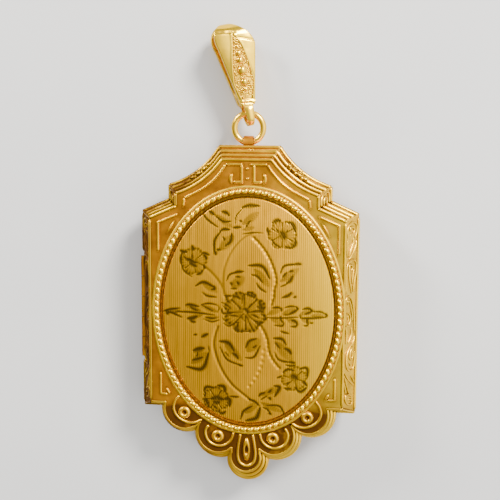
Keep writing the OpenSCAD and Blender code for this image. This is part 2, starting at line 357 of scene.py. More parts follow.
def wall_normal(name, t, u, back=False):
    """The direction outwards from the wall, from neighbouring points a small step h away."""
    h = 1e-3
    along = wall(name, np.clip(t + h, 0, 1), u, back) - wall(name, np.clip(t - h, 0, 1), u, back)
    if name == "neck":
        return np.broadcast_to([1.0, 0.0, 0.5], along.shape)
    down = wall(name, t, u + h, back) - wall(name, t, u - h, back)
    normal = np.cross(along, down)
    outward = np.stack([-along[..., 1], along[..., 0]], -1)
    flip = np.sign(np.sum(normal[..., :2] * outward, -1, keepdims=True))
    return unit(normal * np.where(flip == 0, 1, flip))


def wall_path(names, u, t0=0.0, t1=1.0, back=False):
    """Points and normals along stretches of the wall at the level u."""
    points, normals = [], []
    for i, name in enumerate(names):
        start = t0 if i == 0 else 0.0
        stop = t1 if i == len(names) - 1 else 1.0
        t = np.linspace(start, stop, POINTS[name] + 1)
        if i:
            t = t[1:]
        points.append(wall(name, t, u, back))
        normals.append(wall_normal(name, t, u, back))
    return np.vstack(points), np.vstack(normals)


def both_sides(build, path, normals, *sizes, **ways):
    """A strip on the right half and its mirror image on the left."""
    strip(build, path, normals, *sizes, **ways)
    strip(build, mirrored(path), mirrored(normals), *sizes, **ways)


# Materials

def new_material(name):
    material = bpy.data.materials.new(name)
    material.use_nodes = True
    tree = material.node_tree
    return material, tree, tree.nodes["Principled BSDF"]


def put(tree, socket, value):
    """Links another node's output to the socket, or sets the socket to a plain value."""
    if isinstance(value, bpy.types.NodeSocket):
        tree.links.new(value, socket)
    else:
        socket.default_value = value


def node(tree, kind, **inputs):
    """A new node. Its inputs go under their sockets' names, with _ for a space."""
    new = tree.nodes.new("ShaderNode" + kind)
    for name, value in inputs.items():
        put(tree, new.inputs[name.replace("_", " ")], value)
    return new


def calc(tree, operation, *values):
    """One step of arithmetic on numbers and other nodes' outputs."""
    new = tree.nodes.new("ShaderNodeMath")
    new.operation = operation
    for socket, value in zip(new.inputs, values):
        put(tree, socket, value)
    return new.outputs["Value"]


def between(tree, value, low, high, first=0.0, last=1.0):
    """first where the value is below low, last where it is above high, and evenly between."""
    return node(tree, "MapRange", Value=value, From_Min=low, From_Max=high,
                To_Min=first, To_Max=last).outputs["Result"]


def ramp(tree, value, stops):
    new = node(tree, "ValToRGB", Fac=value)
    elements = new.color_ramp.elements
    while len(elements) < len(stops):
        elements.new(0.5)
    for element, (place, colour) in zip(elements, stops):
        element.position = place
        element.color = (*colour, 1)
    return new.outputs["Color"]


def mix(tree, kind, factor, a, b, blend="MIX"):
    new = tree.nodes.new("ShaderNodeMix")
    new.data_type = kind
    new.blend_type = blend
    for name, value in (("Factor", factor), ("A", a), ("B", b)):
        put(tree, new.inputs[name], value)
    return new.outputs["Result"]


def tint(tree, amount, colour, into):
    """The colour into, replaced by another one where amount is 1."""
    return mix(tree, "RGBA", amount, into, (*colour, 1))


def noise(tree, place, scale, detail):
    return node(tree, "TexNoise", Vector=place, Scale=scale, Detail=detail).outputs["Fac"]


def attribute(tree, name):
    new = tree.nodes.new("ShaderNodeAttribute")
    new.attribute_name = name
    return new.outputs["Fac"]


SPECULAR = (1.0, 0.93, 0.75, 1)


def metal(tree, shader, colour, roughness, strength, depth, height):
    """Sets up a metal with its colour and roughness and a fine bump."""
    relief = node(tree, "Bump", Strength=strength, Distance=depth, Height=height)
    for name, value in (("Metallic", 1.0), ("Specular Tint", SPECULAR), ("Base Color", colour),
                        ("Roughness", roughness), ("Normal", relief.outputs["Normal"])):
        put(tree, shader.inputs[name], value)


# How much patina stays on the face and on the walls, how much painted shade is added on the left, hinge
# side, how much patina is added on the lobes, in the hollows and on the steps, and how strongly painted
# light brightens the right side, away from the hinge.
Ground = namedtuple("Ground", "face face_by_hinge lobes walls walls_by_hinge lobe_walls hollows rubbed")
# The colour of the painted light on the right side.
RIGHT_LIGHT_TINT = (1.0, 0.64, 0.008)


def patina_share(tree, at, facing, mottle, ground, on_strips):
    """The patina that stays on the ground, with painted shade on the left side, in clouds, by a point's
    place and the way it faces.
    """
    face = between(tree, at["Z"], 7.5 * MM, 7.59 * MM)
    lobes = between(tree, at["Y"], -16.0 * MM, -13.6 * MM, 1.0, 0.0)
    # Painted shade: the left side, where the hinge is, is darkened.
    left_shade = between(tree, at["X"], -13.0 * MM, 6.0 * MM, 1.0, 0.0)
    top = calc(tree, "MULTIPLY_ADD", lobes, ground.lobes, ground.face)
    top = calc(tree, "MULTIPLY_ADD", left_shade, ground.face_by_hinge, top)
    if on_strips:
        steep = calc(tree, "SUBTRACT", 1.0, face)
    else:
        steep = between(tree, calc(tree, "ABSOLUTE", facing["Z"]), 0.60, 0.85, 1.0, 0.0)
        # Painted shade: walls facing left get the left side's darkening.
        outward = between(tree, facing["X"], -0.30, 0.30, 1.0, 0.0)
        left_shade = calc(tree, "MULTIPLY", left_shade, outward)
    # The hollows and the steps face up the locket and sideways at once.
    skew = calc(tree, "MULTIPLY", calc(tree, "ABSOLUTE", facing["X"]), facing["Y"])
    hollows = between(tree, skew, 0.06, 0.25)
    walls = ground.walls
    for mask, share in ((left_shade, ground.walls_by_hinge), (hollows, ground.hollows),
                        (lobes, ground.lobe_walls)):
        walls = calc(tree, "MULTIPLY_ADD", mask, share, walls)
    share = calc(tree, "MULTIPLY_ADD", walls, steep, calc(tree, "MULTIPLY", top, face))
    cloud = between(tree, mottle, 0.25, 0.7, 1.3, 0.3)
    return calc(tree, "MULTIPLY", share, cloud)


def gold(name, bright, deep, patina, rough, on_strips=True, crevice=0.6, bump=0.12, ground=None):
    """Worn gold: bright on tops, deeper on flanks, brown in crevices from patina and painted shade, with
    fine scratches and grain.

    Strips and beads carry their own wear and painted shade. ground says how much patina, painted shade and
    painted light the rest gets.
    """
    material, tree, shader = new_material(name)
    place = node(tree, "TexCoord").outputs
    mottle = noise(tree, place["Object"], 260.0, 5.0)
    fine = noise(tree, place["Object"], 900.0, 4.0)
    colour = ramp(tree, mottle, [(0.3, deep), (0.72, bright)])
    # Patina and painted shade in crevices and beside raised lines, from ambient occlusion.
    corners = node(tree, "AmbientOcclusion", Distance=crevice * MM)
    corners.samples = 8
    amount = between(tree, corners.outputs["AO"], 0.35, 0.96, 1.0, 0.0)
    if on_strips:
        # Patina and painted shade where wear is low: at the feet of strips, under beads and in the bosses'
        # holes.
        low = between(tree, attribute(tree, "wear"), 0.0, 0.62, 1.0, 0.0)
        amount = calc(tree, "MAXIMUM", amount, low)
    if ground:
        at = node(tree, "SeparateXYZ", Vector=place["Object"]).outputs
        facing = node(tree, "SeparateXYZ", Vector=place["Normal"]).outputs
        share = patina_share(tree, at, facing, mottle, ground, on_strips)
        amount = calc(tree, "MAXIMUM", amount, share)
        # Painted light: the right side is tinted brighter and yellower.
        rubbed = between(tree, at["X"], 1.0 * MM, 14.0 * MM, 0.0, ground.rubbed)
        colour = tint(tree, rubbed, RIGHT_LIGHT_TINT, colour)
    colour = tint(tree, amount, patina, colour)
    gloss = between(tree, fine, 0.3, 0.75, rough - 0.05, rough + 0.08)
    roughness = calc(tree, "MULTIPLY_ADD", amount, 0.25, gloss)
    metal(tree, shader, colour, roughness, bump, 0.05 * MM, fine)
    return material


PATINA = (0.115, 0.044, 0.007)
ROSE = gold("rose_gold", (1.0, 0.60, 0.006), (1.0, 0.52, 0.003), PATINA, 0.29,
            ground=Ground(face=0.5, face_by_hinge=0, lobes=0, walls=0, walls_by_hinge=1.1,
                          lobe_walls=0, hollows=1.0, rubbed=0.5))
ROSE_CAD = gold("rose_gold_ground", (0.84, 0.34, 0.004), (0.72, 0.27, 0.002), PATINA, 0.34,
                on_strips=False, crevice=1.1,
                ground=Ground(face=0.565, face_by_hinge=0.208, lobes=1.30, walls=0.45,
                              walls_by_hinge=1.60, lobe_walls=0.78, hollows=0.9, rubbed=0.9))
RIM = gold("rim_gold", (1.0, 0.70, 0.006), (1.0, 0.63, 0.003), (0.50, 0.27, 0.006), 0.30, crevice=0.25)
PALE = gold("pale_gold", (1.0, 0.66, 0.02), (1.0, 0.60, 0.01), (0.45, 0.24, 0.012), 0.20,
            crevice=0.20, bump=0.08)
PALE_CAD = gold("pale_gold_plain", (1.0, 0.64, 0.03), (0.94, 0.54, 0.015), (0.30, 0.14, 0.012), 0.22,
                on_strips=False, crevice=0.35, bump=0.08)


# The panel's engraving, charted. Rows: start x and y, middle x and y, end x and y, width.
SPRIG = [
    (-10.2, -0.32, -7.5, -0.28, -4.4, -0.52, 0.26),
    (-12.1, -0.35, -11.0, -0.02, -9.5, 0.26, 0.26),
    (-11.9, -0.35, -10.5, -0.62, -9.2, -1.12, 0.28),
    (-11.7, -0.55, -11.4, -0.70, -11.2, -0.60, 0.34),
    (-8.7, 0.72, -8.1, 0.84, -6.7, 0.62, 0.34),
    (-8.1, 0.55, -7.5, 0.22, -6.9, 0.02, 0.24),
    (-8.4, -1.20, -7.8, -1.20, -7.0, -0.86, 0.46),
    (-8.0, -1.50, -7.7, -1.65, -7.2, -1.70, 0.32),
    (-6.4, 0.92, -5.2, 1.14, -3.9, 0.95, 0.22),
    (-3.9, 0.95, -3.75, 0.50, -3.9, 0.05, 0.16),
    (-6.2, 0.80, -5.4, 0.40, -4.6, 0.02, 0.20),
    (-5.8, -0.85, -5.0, -1.02, -4.2, -0.98, 0.22),
    (-5.8, -1.25, -4.8, -1.52, -3.7, -1.22, 0.20),
    (3.1, -0.65, 5.3, -0.66, 7.7, -0.45, 0.20),
    (7.7, -0.15, 7.9, -0.35, 7.9, -0.60, 0.20),
    (7.9, -0.62, 9.6, -0.64, 11.4, -0.52, 0.30),
    (9.6, 0.30, 10.7, 0.30, 11.4, 0.02, 0.20),
    (11.3, 0.08, 11.62, -0.24, 11.4, -0.56, 0.26),
    (8.2, 0.66, 9.0, 0.78, 9.65, 0.38, 0.30),
    (9.5, 0.36, 9.05, 0.12, 8.5, -0.10, 0.26),
    (5.6, 0.84, 6.5, 1.06, 7.3, 1.02, 0.22),
    (7.2, 1.04, 7.52, 0.75, 7.5, 0.50, 0.24),
    (7.5, 0.62, 6.95, 0.24, 6.3, -0.12, 0.34),
    (6.5, -0.10, 6.0, -0.18, 5.5, -0.18, 0.16),
    (3.9, 0.76, 4.6, 0.88, 5.1, 0.78, 0.26),
    (5.0, 0.86, 5.22, 0.60, 5.22, 0.30, 0.24),
    (5.1, -0.30, 5.15, -0.95, 5.55, -1.35, 0.24),
    (5.55, -1.30, 5.35, -1.80, 4.2, -1.72, 0.24),
    (6.6, -0.98, 7.1, -1.08, 7.5, -1.42, 0.36),
    (7.5, -1.40, 7.25, -1.85, 6.5, -1.85, 0.26),
    (8.9, -0.60, 8.82, -1.15, 9.05, -1.55, 0.24),
    (9.05, -1.55, 8.8, -1.72, 8.3, -1.70, 0.22),
    (9.2, -1.30, 9.5, -1.32, 9.8, -1.28, 0.16),
]
MIDDLE_FLOWER = [
    (-0.2, 0.55, 0.2, 0.35, 0.35, -0.15, 0.62),
    (-0.7, 0.25, -0.9, 0.75, -1.2, 1.15, 0.24),
    (0.45, 0.65, 0.75, 1.00, 1.1, 1.40, 0.34),
    (-0.42, 1.3, -0.42, 2.0, -0.28, 2.75, 0.20),
    (-0.5, 2.9, -0.3, 2.75, -0.1, 2.70, 0.22),
    (-1.6, 2.40, -1.1, 2.22, -0.65, 1.95, 0.46),
    (-3.0, 2.30, -2.5, 2.32, -1.9, 2.38, 0.40),
    (-2.75, 2.20, -2.6, 1.85, -2.8, 1.70, 0.44),
    (-3.4, 1.40, -2.7, 1.02, -1.9, 0.40, 0.26),
    (-3.35, 0.45, -3.3, 0.00, -3.1, -0.35, 0.34),
    (-3.3, -0.20, -2.5, -0.22, -1.75, -0.10, 0.42),
    (-2.3, 0.45, -2.5, 0.10, -2.6, -0.15, 0.30),
    (-2.2, -0.55, -1.5, -0.52, -0.9, -0.62, 0.30),
    (-3.3, -0.75, -3.0, -1.20, -2.6, -1.55, 0.24),
    (-3.1, -1.60, -2.3, -2.05, -1.5, -1.60, 0.30),
    (-1.6, -1.62, -1.2, -1.48, -0.8, -1.55, 0.24),
    (-1.0, -1.65, -1.15, -2.25, -1.2, -2.85, 0.46),
    (-1.7, -2.30, -1.4, -2.65, -1.1, -2.95, 0.30),
    (-1.1, -2.90, -0.3, -2.72, 0.8, -2.80, 0.22),
    (0.45, -1.15, 0.85, -1.90, 1.2, -2.80, 0.30),
    (-0.7, -0.35, -0.45, -0.75, -0.1, -1.20, 0.24),
    (0.15, -0.45, 0.35, -0.80, 0.5, -1.20, 0.26),
    (0.9, -0.25, 1.4, -0.42, 2.0, -0.75, 0.36),
    (1.0, -0.90, 1.5, -1.20, 2.2, -1.35, 0.26),
    (1.8, -1.95, 2.1, -1.65, 2.35, -1.20, 0.50),
    (2.3, -0.10, 2.75, -0.45, 3.15, -1.00, 0.34),
    (0.8, 0.12, 1.8, 0.30, 2.8, 0.25, 0.26),
    (2.0, 1.75, 2.2, 1.10, 2.7, 0.45, 0.62),
    (1.7, 1.00, 2.0, 0.75, 2.4, 0.45, 0.40),
    (0.2, 2.60, 0.85, 2.45, 1.45, 2.15, 0.46),
    (0.5, 2.95, 0.9, 2.85, 1.25, 2.60, 0.34),
    (-3.2, 0.95, -2.9, 0.60, -2.7, 0.50, 0.18),
]
FLOWERS = [
    (-9.5, 8.65, -9.1, 8.45, -8.5, 8.40, 0.46),
    (-9.2, 8.40, -9.45, 7.40, -9.35, 6.60, 0.34),
    (-7.75, 9.35, -7.65, 9.00, -7.50, 8.70, 0.50),
    (-6.3, 8.40, -5.8, 8.35, -5.2, 8.10, 0.34),
    (-6.0, 8.10, -5.75, 7.80, -5.60, 7.50, 0.42),
    (-8.45, 7.45, -7.9, 7.20, -7.15, 6.95, 0.50),
    (-8.1, 6.95, -7.6, 6.60, -7.1, 6.40, 0.44),
    (-9.4, 6.70, -8.9, 5.70, -7.7, 4.90, 0.24),
    (-7.05, 5.25, -6.5, 5.40, -6.1, 5.95, 0.36),
    (-6.1, 6.60, -5.9, 6.30, -5.8, 6.10, 0.30),
    (-8.9, 7.75, -8.6, 7.40, -8.4, 7.10, 0.24),
    (-7.8, 8.1, -7.75, 7.75, -7.7, 7.5, 0.22),
    (3.75, 12.85, 4.3, 13.20, 4.9, 13.20, 0.50),
    (5.9, 12.95, 6.6, 12.70, 7.0, 11.60, 0.56),
    (3.05, 12.20, 3.1, 11.70, 3.25, 11.20, 0.36),
    (3.65, 10.60, 4.1, 9.95, 5.1, 9.35, 0.24),
    (7.0, 10.60, 7.0, 9.95, 6.5, 9.35, 0.50),
    (5.6, 9.60, 6.1, 9.38, 6.6, 9.40, 0.30),
    (5.0, 11.55, 5.25, 11.20, 5.45, 10.70, 0.78),
    (4.3, 12.10, 4.5, 11.80, 4.7, 11.70, 0.20),
    (5.9, 11.90, 5.8, 11.70, 5.7, 11.50, 0.20),
    (-6.1, -12.10, -5.7, -11.40, -4.5, -11.45, 0.42),
    (-4.0, -11.05, -3.1, -11.20, -2.9, -12.00, 0.52),
    (-5.0, -13.20, -4.2, -13.00, -3.2, -13.20, 0.66),
    (-4.7, -13.65, -4.2, -13.75, -3.8, -13.60, 0.52),
    (-3.0, -13.00, -2.3, -13.10, -2.3, -14.20, 0.52),
    (-6.3, -13.30, -5.7, -13.50, -5.45, -14.60, 0.44),
    (-4.7, -14.20, -4.4, -14.50, -4.2, -14.70, 0.30),
    (-4.0, -15.15, -3.4, -15.35, -2.9, -15.00, 0.42),
    (-6.0, -12.90, -5.9, -12.60, -5.8, -12.30, 0.20),
    (5.5, -8.65, 6.2, -8.25, 7.1, -8.40, 0.32),
    (7.9, -8.10, 8.9, -8.05, 9.0, -9.40, 0.40),
    (8.3, -10.10, 8.7, -10.35, 8.95, -10.70, 0.38),
    (7.2, -10.95, 8.0, -11.60, 8.9, -10.95, 0.42),
    (5.7, -11.05, 6.2, -11.25, 6.6, -11.10, 0.38),
    (4.6, -9.55, 5.0, -9.40, 5.4, -9.20, 0.26),
    (6.75, -9.15, 7.15, -9.40, 7.45, -9.60, 0.72),
    (5.9, -10.50, 6.2, -10.30, 6.5, -10.20, 0.22),
    (5.9, -7.55, 6.6, -7.70, 7.3, -7.55, 0.30),
]
LEAVES = [
    (-7.2, 3.60, -6.0, 4.20, -4.4, 3.50, 0.36),
    (-4.5, 3.75, -4.4, 3.30, -4.9, 3.15, 0.30),
    (-6.2, 2.75, -5.5, 2.25, -4.1, 2.10, 0.26),
    (-2.7, 4.50, -2.1, 5.50, -0.2, 5.90, 0.24),
    (-1.6, 5.70, -1.0, 5.85, -0.3, 5.90, 0.36),
    (-2.1, 4.30, -2.0, 4.10, -1.9, 3.95, 0.30),
    (-1.2, 4.40, -1.0, 4.20, -0.9, 4.00, 0.32),
    (-2.1, 3.40, -1.6, 3.42, -1.1, 3.40, 0.20),
    (-1.4, 5.15, -1.1, 5.15, -0.7, 5.10, 0.24),
    (-4.45, 8.30, -4.45, 10.20, -3.5, 11.60, 0.34),
    (-3.7, 11.55, -3.1, 11.85, -2.3, 11.80, 0.38),
    (-2.9, 9.50, -2.2, 10.10, -2.0, 11.30, 0.38),
    (-4.1, 8.95, -3.9, 8.90, -3.6, 8.85, 0.34),
    (-4.5, 8.70, -4.35, 8.50, -4.25, 8.20, 0.40),
    (-3.3, 10.80, -3.1, 10.50, -3.0, 10.20, 0.22),
    (-6.5, 14.80, -5.7, 13.30, -4.0, 12.10, 0.26),
    (-5.3, 14.30, -4.9, 14.10, -4.6, 13.80, 0.42),
    (-3.5, 14.30, -2.9, 14.20, -2.4, 13.80, 0.42),
    (-4.3, 13.60, -3.2, 12.90, -2.1, 13.00, 0.26),
    (-1.8, 12.10, -1.3, 12.15, -0.7, 12.20, 0.34),
    (-1.5, 12.60, -1.4, 13.70, -0.5, 14.80, 0.20),
    (-0.6, 14.95, 0.5, 15.25, 1.9, 15.20, 0.42),
    (0.0, 12.20, 0.3, 12.65, 0.6, 13.10, 0.30),
    (-0.9, 13.1, -0.75, 13.05, -0.6, 13.0, 0.26),
    (0.45, 6.80, 2.4, 6.70, 3.5, 5.00, 0.42),
    (0.9, 5.50, 1.7, 5.25, 2.5, 4.40, 0.26),
    (1.6, 4.35, 2.1, 3.60, 3.0, 3.02, 0.26),
    (5.0, 5.80, 5.6, 6.85, 7.8, 7.12, 0.26),
    (6.9, 7.05, 7.4, 7.12, 7.9, 7.12, 0.34),
    (5.3, 5.20, 5.6, 5.60, 5.9, 5.90, 0.26),
    (6.2, 5.95, 6.5, 6.10, 6.8, 6.12, 0.26),
    (5.9, 4.35, 6.4, 4.75, 6.75, 5.40, 0.42),
    (5.0, 3.85, 5.5, 4.05, 6.1, 4.35, 0.18),
    (5.2, 2.25, 6.1, 2.55, 6.6, 3.10, 0.30),
    (6.9, 2.30, 7.1, 2.42, 7.3, 2.45, 0.26),
    (-6.3, -3.85, -5.9, -3.60, -5.4, -3.35, 0.42),
    (-7.5, -3.60, -7.2, -3.55, -7.0, -3.50, 0.24),
    (-7.6, -5.95, -6.9, -5.70, -6.0, -5.50, 0.46),
    (-7.0, -6.20, -7.0, -6.50, -7.1, -6.80, 0.22),
    (-7.8, -7.45, -7.0, -7.20, -6.2, -6.90, 0.30),
    (-8.6, -8.50, -6.3, -8.60, -5.3, -6.20, 0.46),
    (-5.3, -5.10, -5.25, -5.60, -5.2, -6.10, 0.16),
    (-3.7, -4.35, -2.4, -4.55, -1.6, -5.70, 0.46),
    (-3.6, -5.20, -2.6, -7.00, -0.4, -7.90, 0.24),
    (-1.1, -7.65, -0.7, -7.80, -0.3, -7.90, 0.30),
    (-1.8, -6.05, -1.3, -6.40, -1.0, -6.85, 0.36),
    (-2.9, -5.90, -2.6, -6.20, -2.3, -6.60, 0.18),
    (0.0, -6.65, 1.3, -6.50, 2.2, -4.80, 0.26),
    (0.1, -5.20, 0.6, -4.20, 1.7, -3.75, 0.34),
    (1.1, -5.15, 1.4, -5.00, 1.7, -4.75, 0.22),
    (-2.2, -12.60, -1.5, -12.65, -0.9, -12.65, 0.26),
    (-0.7, -16.10, -0.2, -14.80, 1.0, -14.00, 0.30),
    (0.1, -16.30, 1.6, -15.80, 2.2, -14.20, 0.50),
    (5.1, -2.55, 5.6, -2.75, 6.3, -2.90, 0.26),
    (4.1, -3.65, 5.3, -3.75, 5.9, -4.55, 0.38),
    (4.4, -4.30, 4.7, -4.70, 5.05, -5.15, 0.24),
    (5.7, -5.15, 6.3, -5.40, 6.65, -5.95, 0.42),
    (4.3, -5.70, 5.0, -6.85, 7.2, -7.25, 0.26),
    (6.3, -7.10, 6.8, -7.18, 7.2, -7.22, 0.34),
    (4.25, -10.75, 5.0, -11.00, 4.3, -12.40, 0.42),
    (3.3, -11.85, 3.6, -11.65, 3.85, -11.30, 0.28),
    (2.0, -12.50, 2.3, -12.05, 2.9, -11.85, 0.30),
    (3.4, -12.60, 3.6, -12.70, 3.7, -12.90, 0.36),
    (2.3, -12.95, 2.8, -12.60, 3.3, -12.30, 0.18),
    (0.4, -12.95, 1.3, -13.20, 2.1, -13.90, 0.32),
    (3.1, -13.80, 5.0, -13.90, 5.9, -15.70, 0.26),
    (2.6, -14.10, 3.3, -14.50, 3.8, -15.30, 0.26),
    (3.4, -15.0, 3.6, -15.1, 3.8, -15.1, 0.30),
    (-0.5, 11.25, 1.0, 11.45, 2.4, 11.45, 0.16),
]
# The strokes' tables, each with how much wider the tool cut than the row says.
STROKES = [(SPRIG, 1.9), (MIDDLE_FLOWER, 1.3), (FLOWERS, 1.7), (LEAVES, 1.9)]

# The thin vines, each a list of x and y.
LEFT_VINE = [(-6.0, 6.4), (-5.2, 5.8), (-4.4, 5.0), (-3.7, 4.1), (-3.25, 3.2), (-3.0, 2.3)]
UPPER_LEFT_VINE = [(-3.2, 2.6), (-3.3, 4.2), (-3.2, 5.8), (-2.8, 7.2), (-2.1, 8.7), (-1.2, 9.9),
                   (-0.2, 10.8), (0.8, 11.3)]
UPPER_RIGHT_VINE = [(1.0, 10.8), (1.9, 9.9), (2.7, 8.9), (3.4, 7.7), (3.9, 6.5), (4.25, 5.3),
                    (4.3, 4.3), (4.05, 3.3), (4.0, 2.3), (3.7, 1.2)]
LOWER_LEFT_VINE = [(-4.0, -2.2), (-4.45, -3.6), (-4.6, -5.0), (-4.3, -6.5), (-3.7, -8.1),
                   (-2.9, -9.6), (-1.8, -11.0), (-0.5, -12.1), (0.5, -12.9)]
LOWER_RIGHT_VINE = [(2.2, -1.9), (2.8, -3.0), (3.2, -4.2), (3.35, -5.5), (3.9, -6.8), (4.9, -8.1)]
DOTTED_VINE = [(2.75, -5.3), (2.6, -6.6), (2.35, -7.8), (1.9, -9.0), (1.2, -10.2), (0.4, -11.2)]
# Rows: the line, its groove's width and share of the full depth, and how dark the painted shadow line beside
# it is.
VINES = [
    (LEFT_VINE, 0.60, 0.25, 0.8),
    (UPPER_LEFT_VINE, 0.70, 0.2, 0.7),
    (UPPER_RIGHT_VINE, 0.62, 0.4, 1.0),
    (LOWER_LEFT_VINE, 0.62, 0.6, 1.0),
    (LOWER_RIGHT_VINE, 0.62, 0.4, 1.0),
]
# Pits struck along a vine. Rows: the line, the distance from pit to pit, and their size.
PITS = [(DOTTED_VINE, 0.85, 0.66), (UPPER_RIGHT_VINE, 0.66, 0.60), (LOWER_RIGHT_VINE, 0.66, 0.60)]
# The groove and the painted shadow line beside it, off the vine's middle.
VINE_GROOVE_OFF = (-0.04, -0.01)
VINE_SHADOW_OFF, VINE_SHADOW_W = (0.16, 0.05), 0.50
# Depths of the dark cuts, of the shaded parts and of the vines' grooves.
CUT_DEPTH, SHADE_DEPTH, VINE_DEPTH = 0.08, 0.04, 0.11

# The panel's half axes, the z of its edge and of its skirt's foot, its dome's rise, and the rows and
# columns of its points.
PANEL_A, PANEL_B = 12.86, 17.07
PANEL_EDGE_Z, PANEL_FOOT_Z, PANEL_RISE = 7.80, 7.1, 1.06
PANEL_GRID = (372, 246)
# Where the rolled edge starts, in shares of the half axes.
GROOVE = 0.958


def oval_grid(columns, rows):
    """Points over the oval as x and y in half axes, closer together near its rim."""
    quarter = math.pi / 2
    t = np.sin(np.linspace(-1, 1, columns) * quarter * 0.9) / math.sin(quarter * 0.9)
    phi = np.linspace(-quarter * 0.985, quarter * 0.985, rows)
    return np.cos(phi)[:, None] * t[None, :], np.repeat(np.sin(phi)[:, None], columns, 1)


def near_line(x, y, line, width):
    """How deep each point lies in a stroke along line: 1 in its middle, 0 outside."""
    line = np.asarray(line, float)
    width = np.broadcast_to(np.asarray(width, float), (len(line),))
    low = line.min(0) - width.max()
    high = line.max(0) + width.max()
    inside = (x > low[0]) & (x < high[0]) & (y > low[1]) & (y < high[1])
    px, py = x[inside], y[inside]
    best = np.zeros(len(px))
    for (ax, ay), (bx, by), wa, wb in zip(line[:-1], line[1:], width[:-1], width[1:]):
        dx, dy = bx - ax, by - ay
        t = np.clip(((px - ax) * dx + (py - ay) * dy) / max(dx * dx + dy * dy, 1e-9), 0, 1)
        d = np.hypot(px - ax - t * dx, py - ay - t * dy)
        half = (wa + (wb - wa) * t) / 2
        best = np.maximum(best, np.clip(1.2 * (1 - d / np.maximum(half, 1e-6)), 0, 1))
    out = np.zeros(x.shape)
    out[inside] = best
    return out


def stroke(row):
    """A tapered cut through the row's three places."""
    x0, y0, x1, y1, x2, y2, width = row
    line = curve([(x0, y0), (x1, y1), (x2, y2)], 0.15)
    t = np.linspace(0, 1, len(line))
    return line, width * (0.45 + 0.75 * np.sin(math.pi * t) ** 0.8)


# The flowers' fans of fine cuts. Rows: centre x and y, inner and outer radius, petals, the turn
# of the first petal in degrees, and the depth of the cuts round the petals.
FANS = [
    (0.0, 0.05, 0.55, 3.25, 8, 25.5, 1.0),
    (-7.5, 7.15, 0.45, 2.1, 6, 10, 0.75),
    (5.15, 11.2, 0.45, 2.2, 6, 0, 0.7),
    (-4.3, -13.2, 0.4, 2.1, 6, 30, 0.9),
    (7.1, -9.6, 0.4, 2.0, 6, 15, 0.75),
]
# The leaves' bodies, shaded with fine cross cuts. Rows: root x and y, tip x and y, width.
BODIES = [
    (-4.6, 13.9, -1.9, 12.1, 0.90),
    (-3.7, 8.9, -1.7, 11.0, 1.40),
    (-0.5, 12.6, 1.8, 14.3, 1.10),
    (-0.5, 11.8, 1.3, 12.2, 0.60),
    (-1.9, 3.7, -0.2, 5.1, 1.40),
    (1.3, 6.3, 3.4, 3.8, 1.20),
    (5.0, 4.6, 7.6, 6.5, 1.10),
    (5.4, 2.3, 6.9, 3.0, 0.60),
    (-6.2, 4.0, -4.0, 2.8, 0.90),
    (-7.9, -7.9, -5.6, -6.2, 1.15),
    (-7.6, -6.2, -5.9, -5.5, 0.90),
    (-3.0, -4.5, -0.4, -7.2, 1.20),
    (0.3, -5.7, 2.1, -3.9, 1.40),
    (4.3, -4.1, 6.8, -6.9, 1.50),
    (0.0, -15.1, 1.8, -13.4, 1.10),
    (2.3, -13.4, 5.4, -14.8, 0.90),
    (2.4, -12.3, 5.0, -10.9, 1.00),
    (-3.9, -0.10, -6.5, 0.75, 0.80),
    (-6.4, 0.00, -8.8, 0.60, 0.65),
    (-6.2, -0.60, -8.7, -1.40, 0.65),
    (-3.7, -0.80, -6.2, -1.20, 0.65),
    (-9.4, -0.20, -12.0, -0.32, 0.75),
    (3.2, -0.20, 5.3, 0.75, 0.85),
    (5.3, -0.15, 7.6, 0.80, 0.90),
    (7.8, -0.10, 9.9, 0.50, 0.85),
    (3.6, -0.75, 5.6, -1.50, 0.80),
    (5.9, -0.80, 7.7, -1.60, 0.75),
    (8.0, -0.80, 9.6, -1.45, 0.65),
    (9.4, -0.25, 11.7, -0.25, 0.75),
]


def bodies(x, y):
    """The shade of the leaves: a pointed body with cuts across it, darker towards its root."""
    shade = np.zeros(x.shape)
    for x0, y0, x1, y1, width in BODIES:
        t = np.linspace(0, 1, 12)
        line = np.column_stack([x0 + (x1 - x0) * t, y0 + (y1 - y0) * t])
        inside = near_line(x, y, line, width * (0.15 + 1.1 * np.sin(math.pi * t) ** 0.8))
        span = math.hypot(x1 - x0, y1 - y0)
        s = ((x - x0) * (x1 - x0) + (y - y0) * (y1 - y0)) / span
        off = np.abs((x - x0) * (y1 - y0) - (y - y0) * (x1 - x0)) / span
        cuts = 0.5 + 0.5 * np.cos(2 * math.pi * (s - 0.8 * off) / 0.38)
        tone = 0.30 + 0.35 * cuts + 0.30 * (1 - s / span)
        shade = np.maximum(shade, np.clip(inside * 2.2, 0, 1) * tone)
    return shade


def fans(x, y):
    """The flowers' shade of fine radial cuts, and the deep cuts between the petals and at their tips."""
    shade, deep = np.zeros(x.shape), np.zeros(x.shape)
    for cx, cy, inner, outer, petals, turn, depth in FANS:
        d = np.hypot(x - cx, y - cy)
        a = np.arctan2(y - cy, x - cx) - math.radians(turn)
        petal = np.abs(np.cos(petals * a / 2))
        reach = outer * (0.80 + 0.20 * petal ** 0.6)
        inside = rise(d, reach, -0.15) * rise(d, inner * 0.3, 0.2)
        ray = 0.5 + 0.5 * np.cos(a * petals * 4)
        s = np.clip(d / reach, 0, 1)
        gap = np.clip(1 - petal * (1.0 + 2.4 * s), 0, 1)
        tip = rise(s, 0.74, 0.14)
        tone = (0.40 + 0.50 * ray) * (0.6 + 0.9 * np.abs(s - 0.55)) + 0.4 * gap
        shade = np.maximum(shade, tone * inside)
        deep = np.maximum(deep, np.maximum(gap, tip * (0.35 + 0.65 * ray)) * inside * depth)
    return shade, deep


def panel_height(r):
    """The panel's dome over its edge, and the groove along its rim, at r of 1 from the middle."""
    dome = PANEL_RISE * (1 - r ** 2.5)
    roll = -0.34 * rise(r, GROOVE, 0.02) ** 1.5
    return PANEL_EDGE_Z + dome + roll


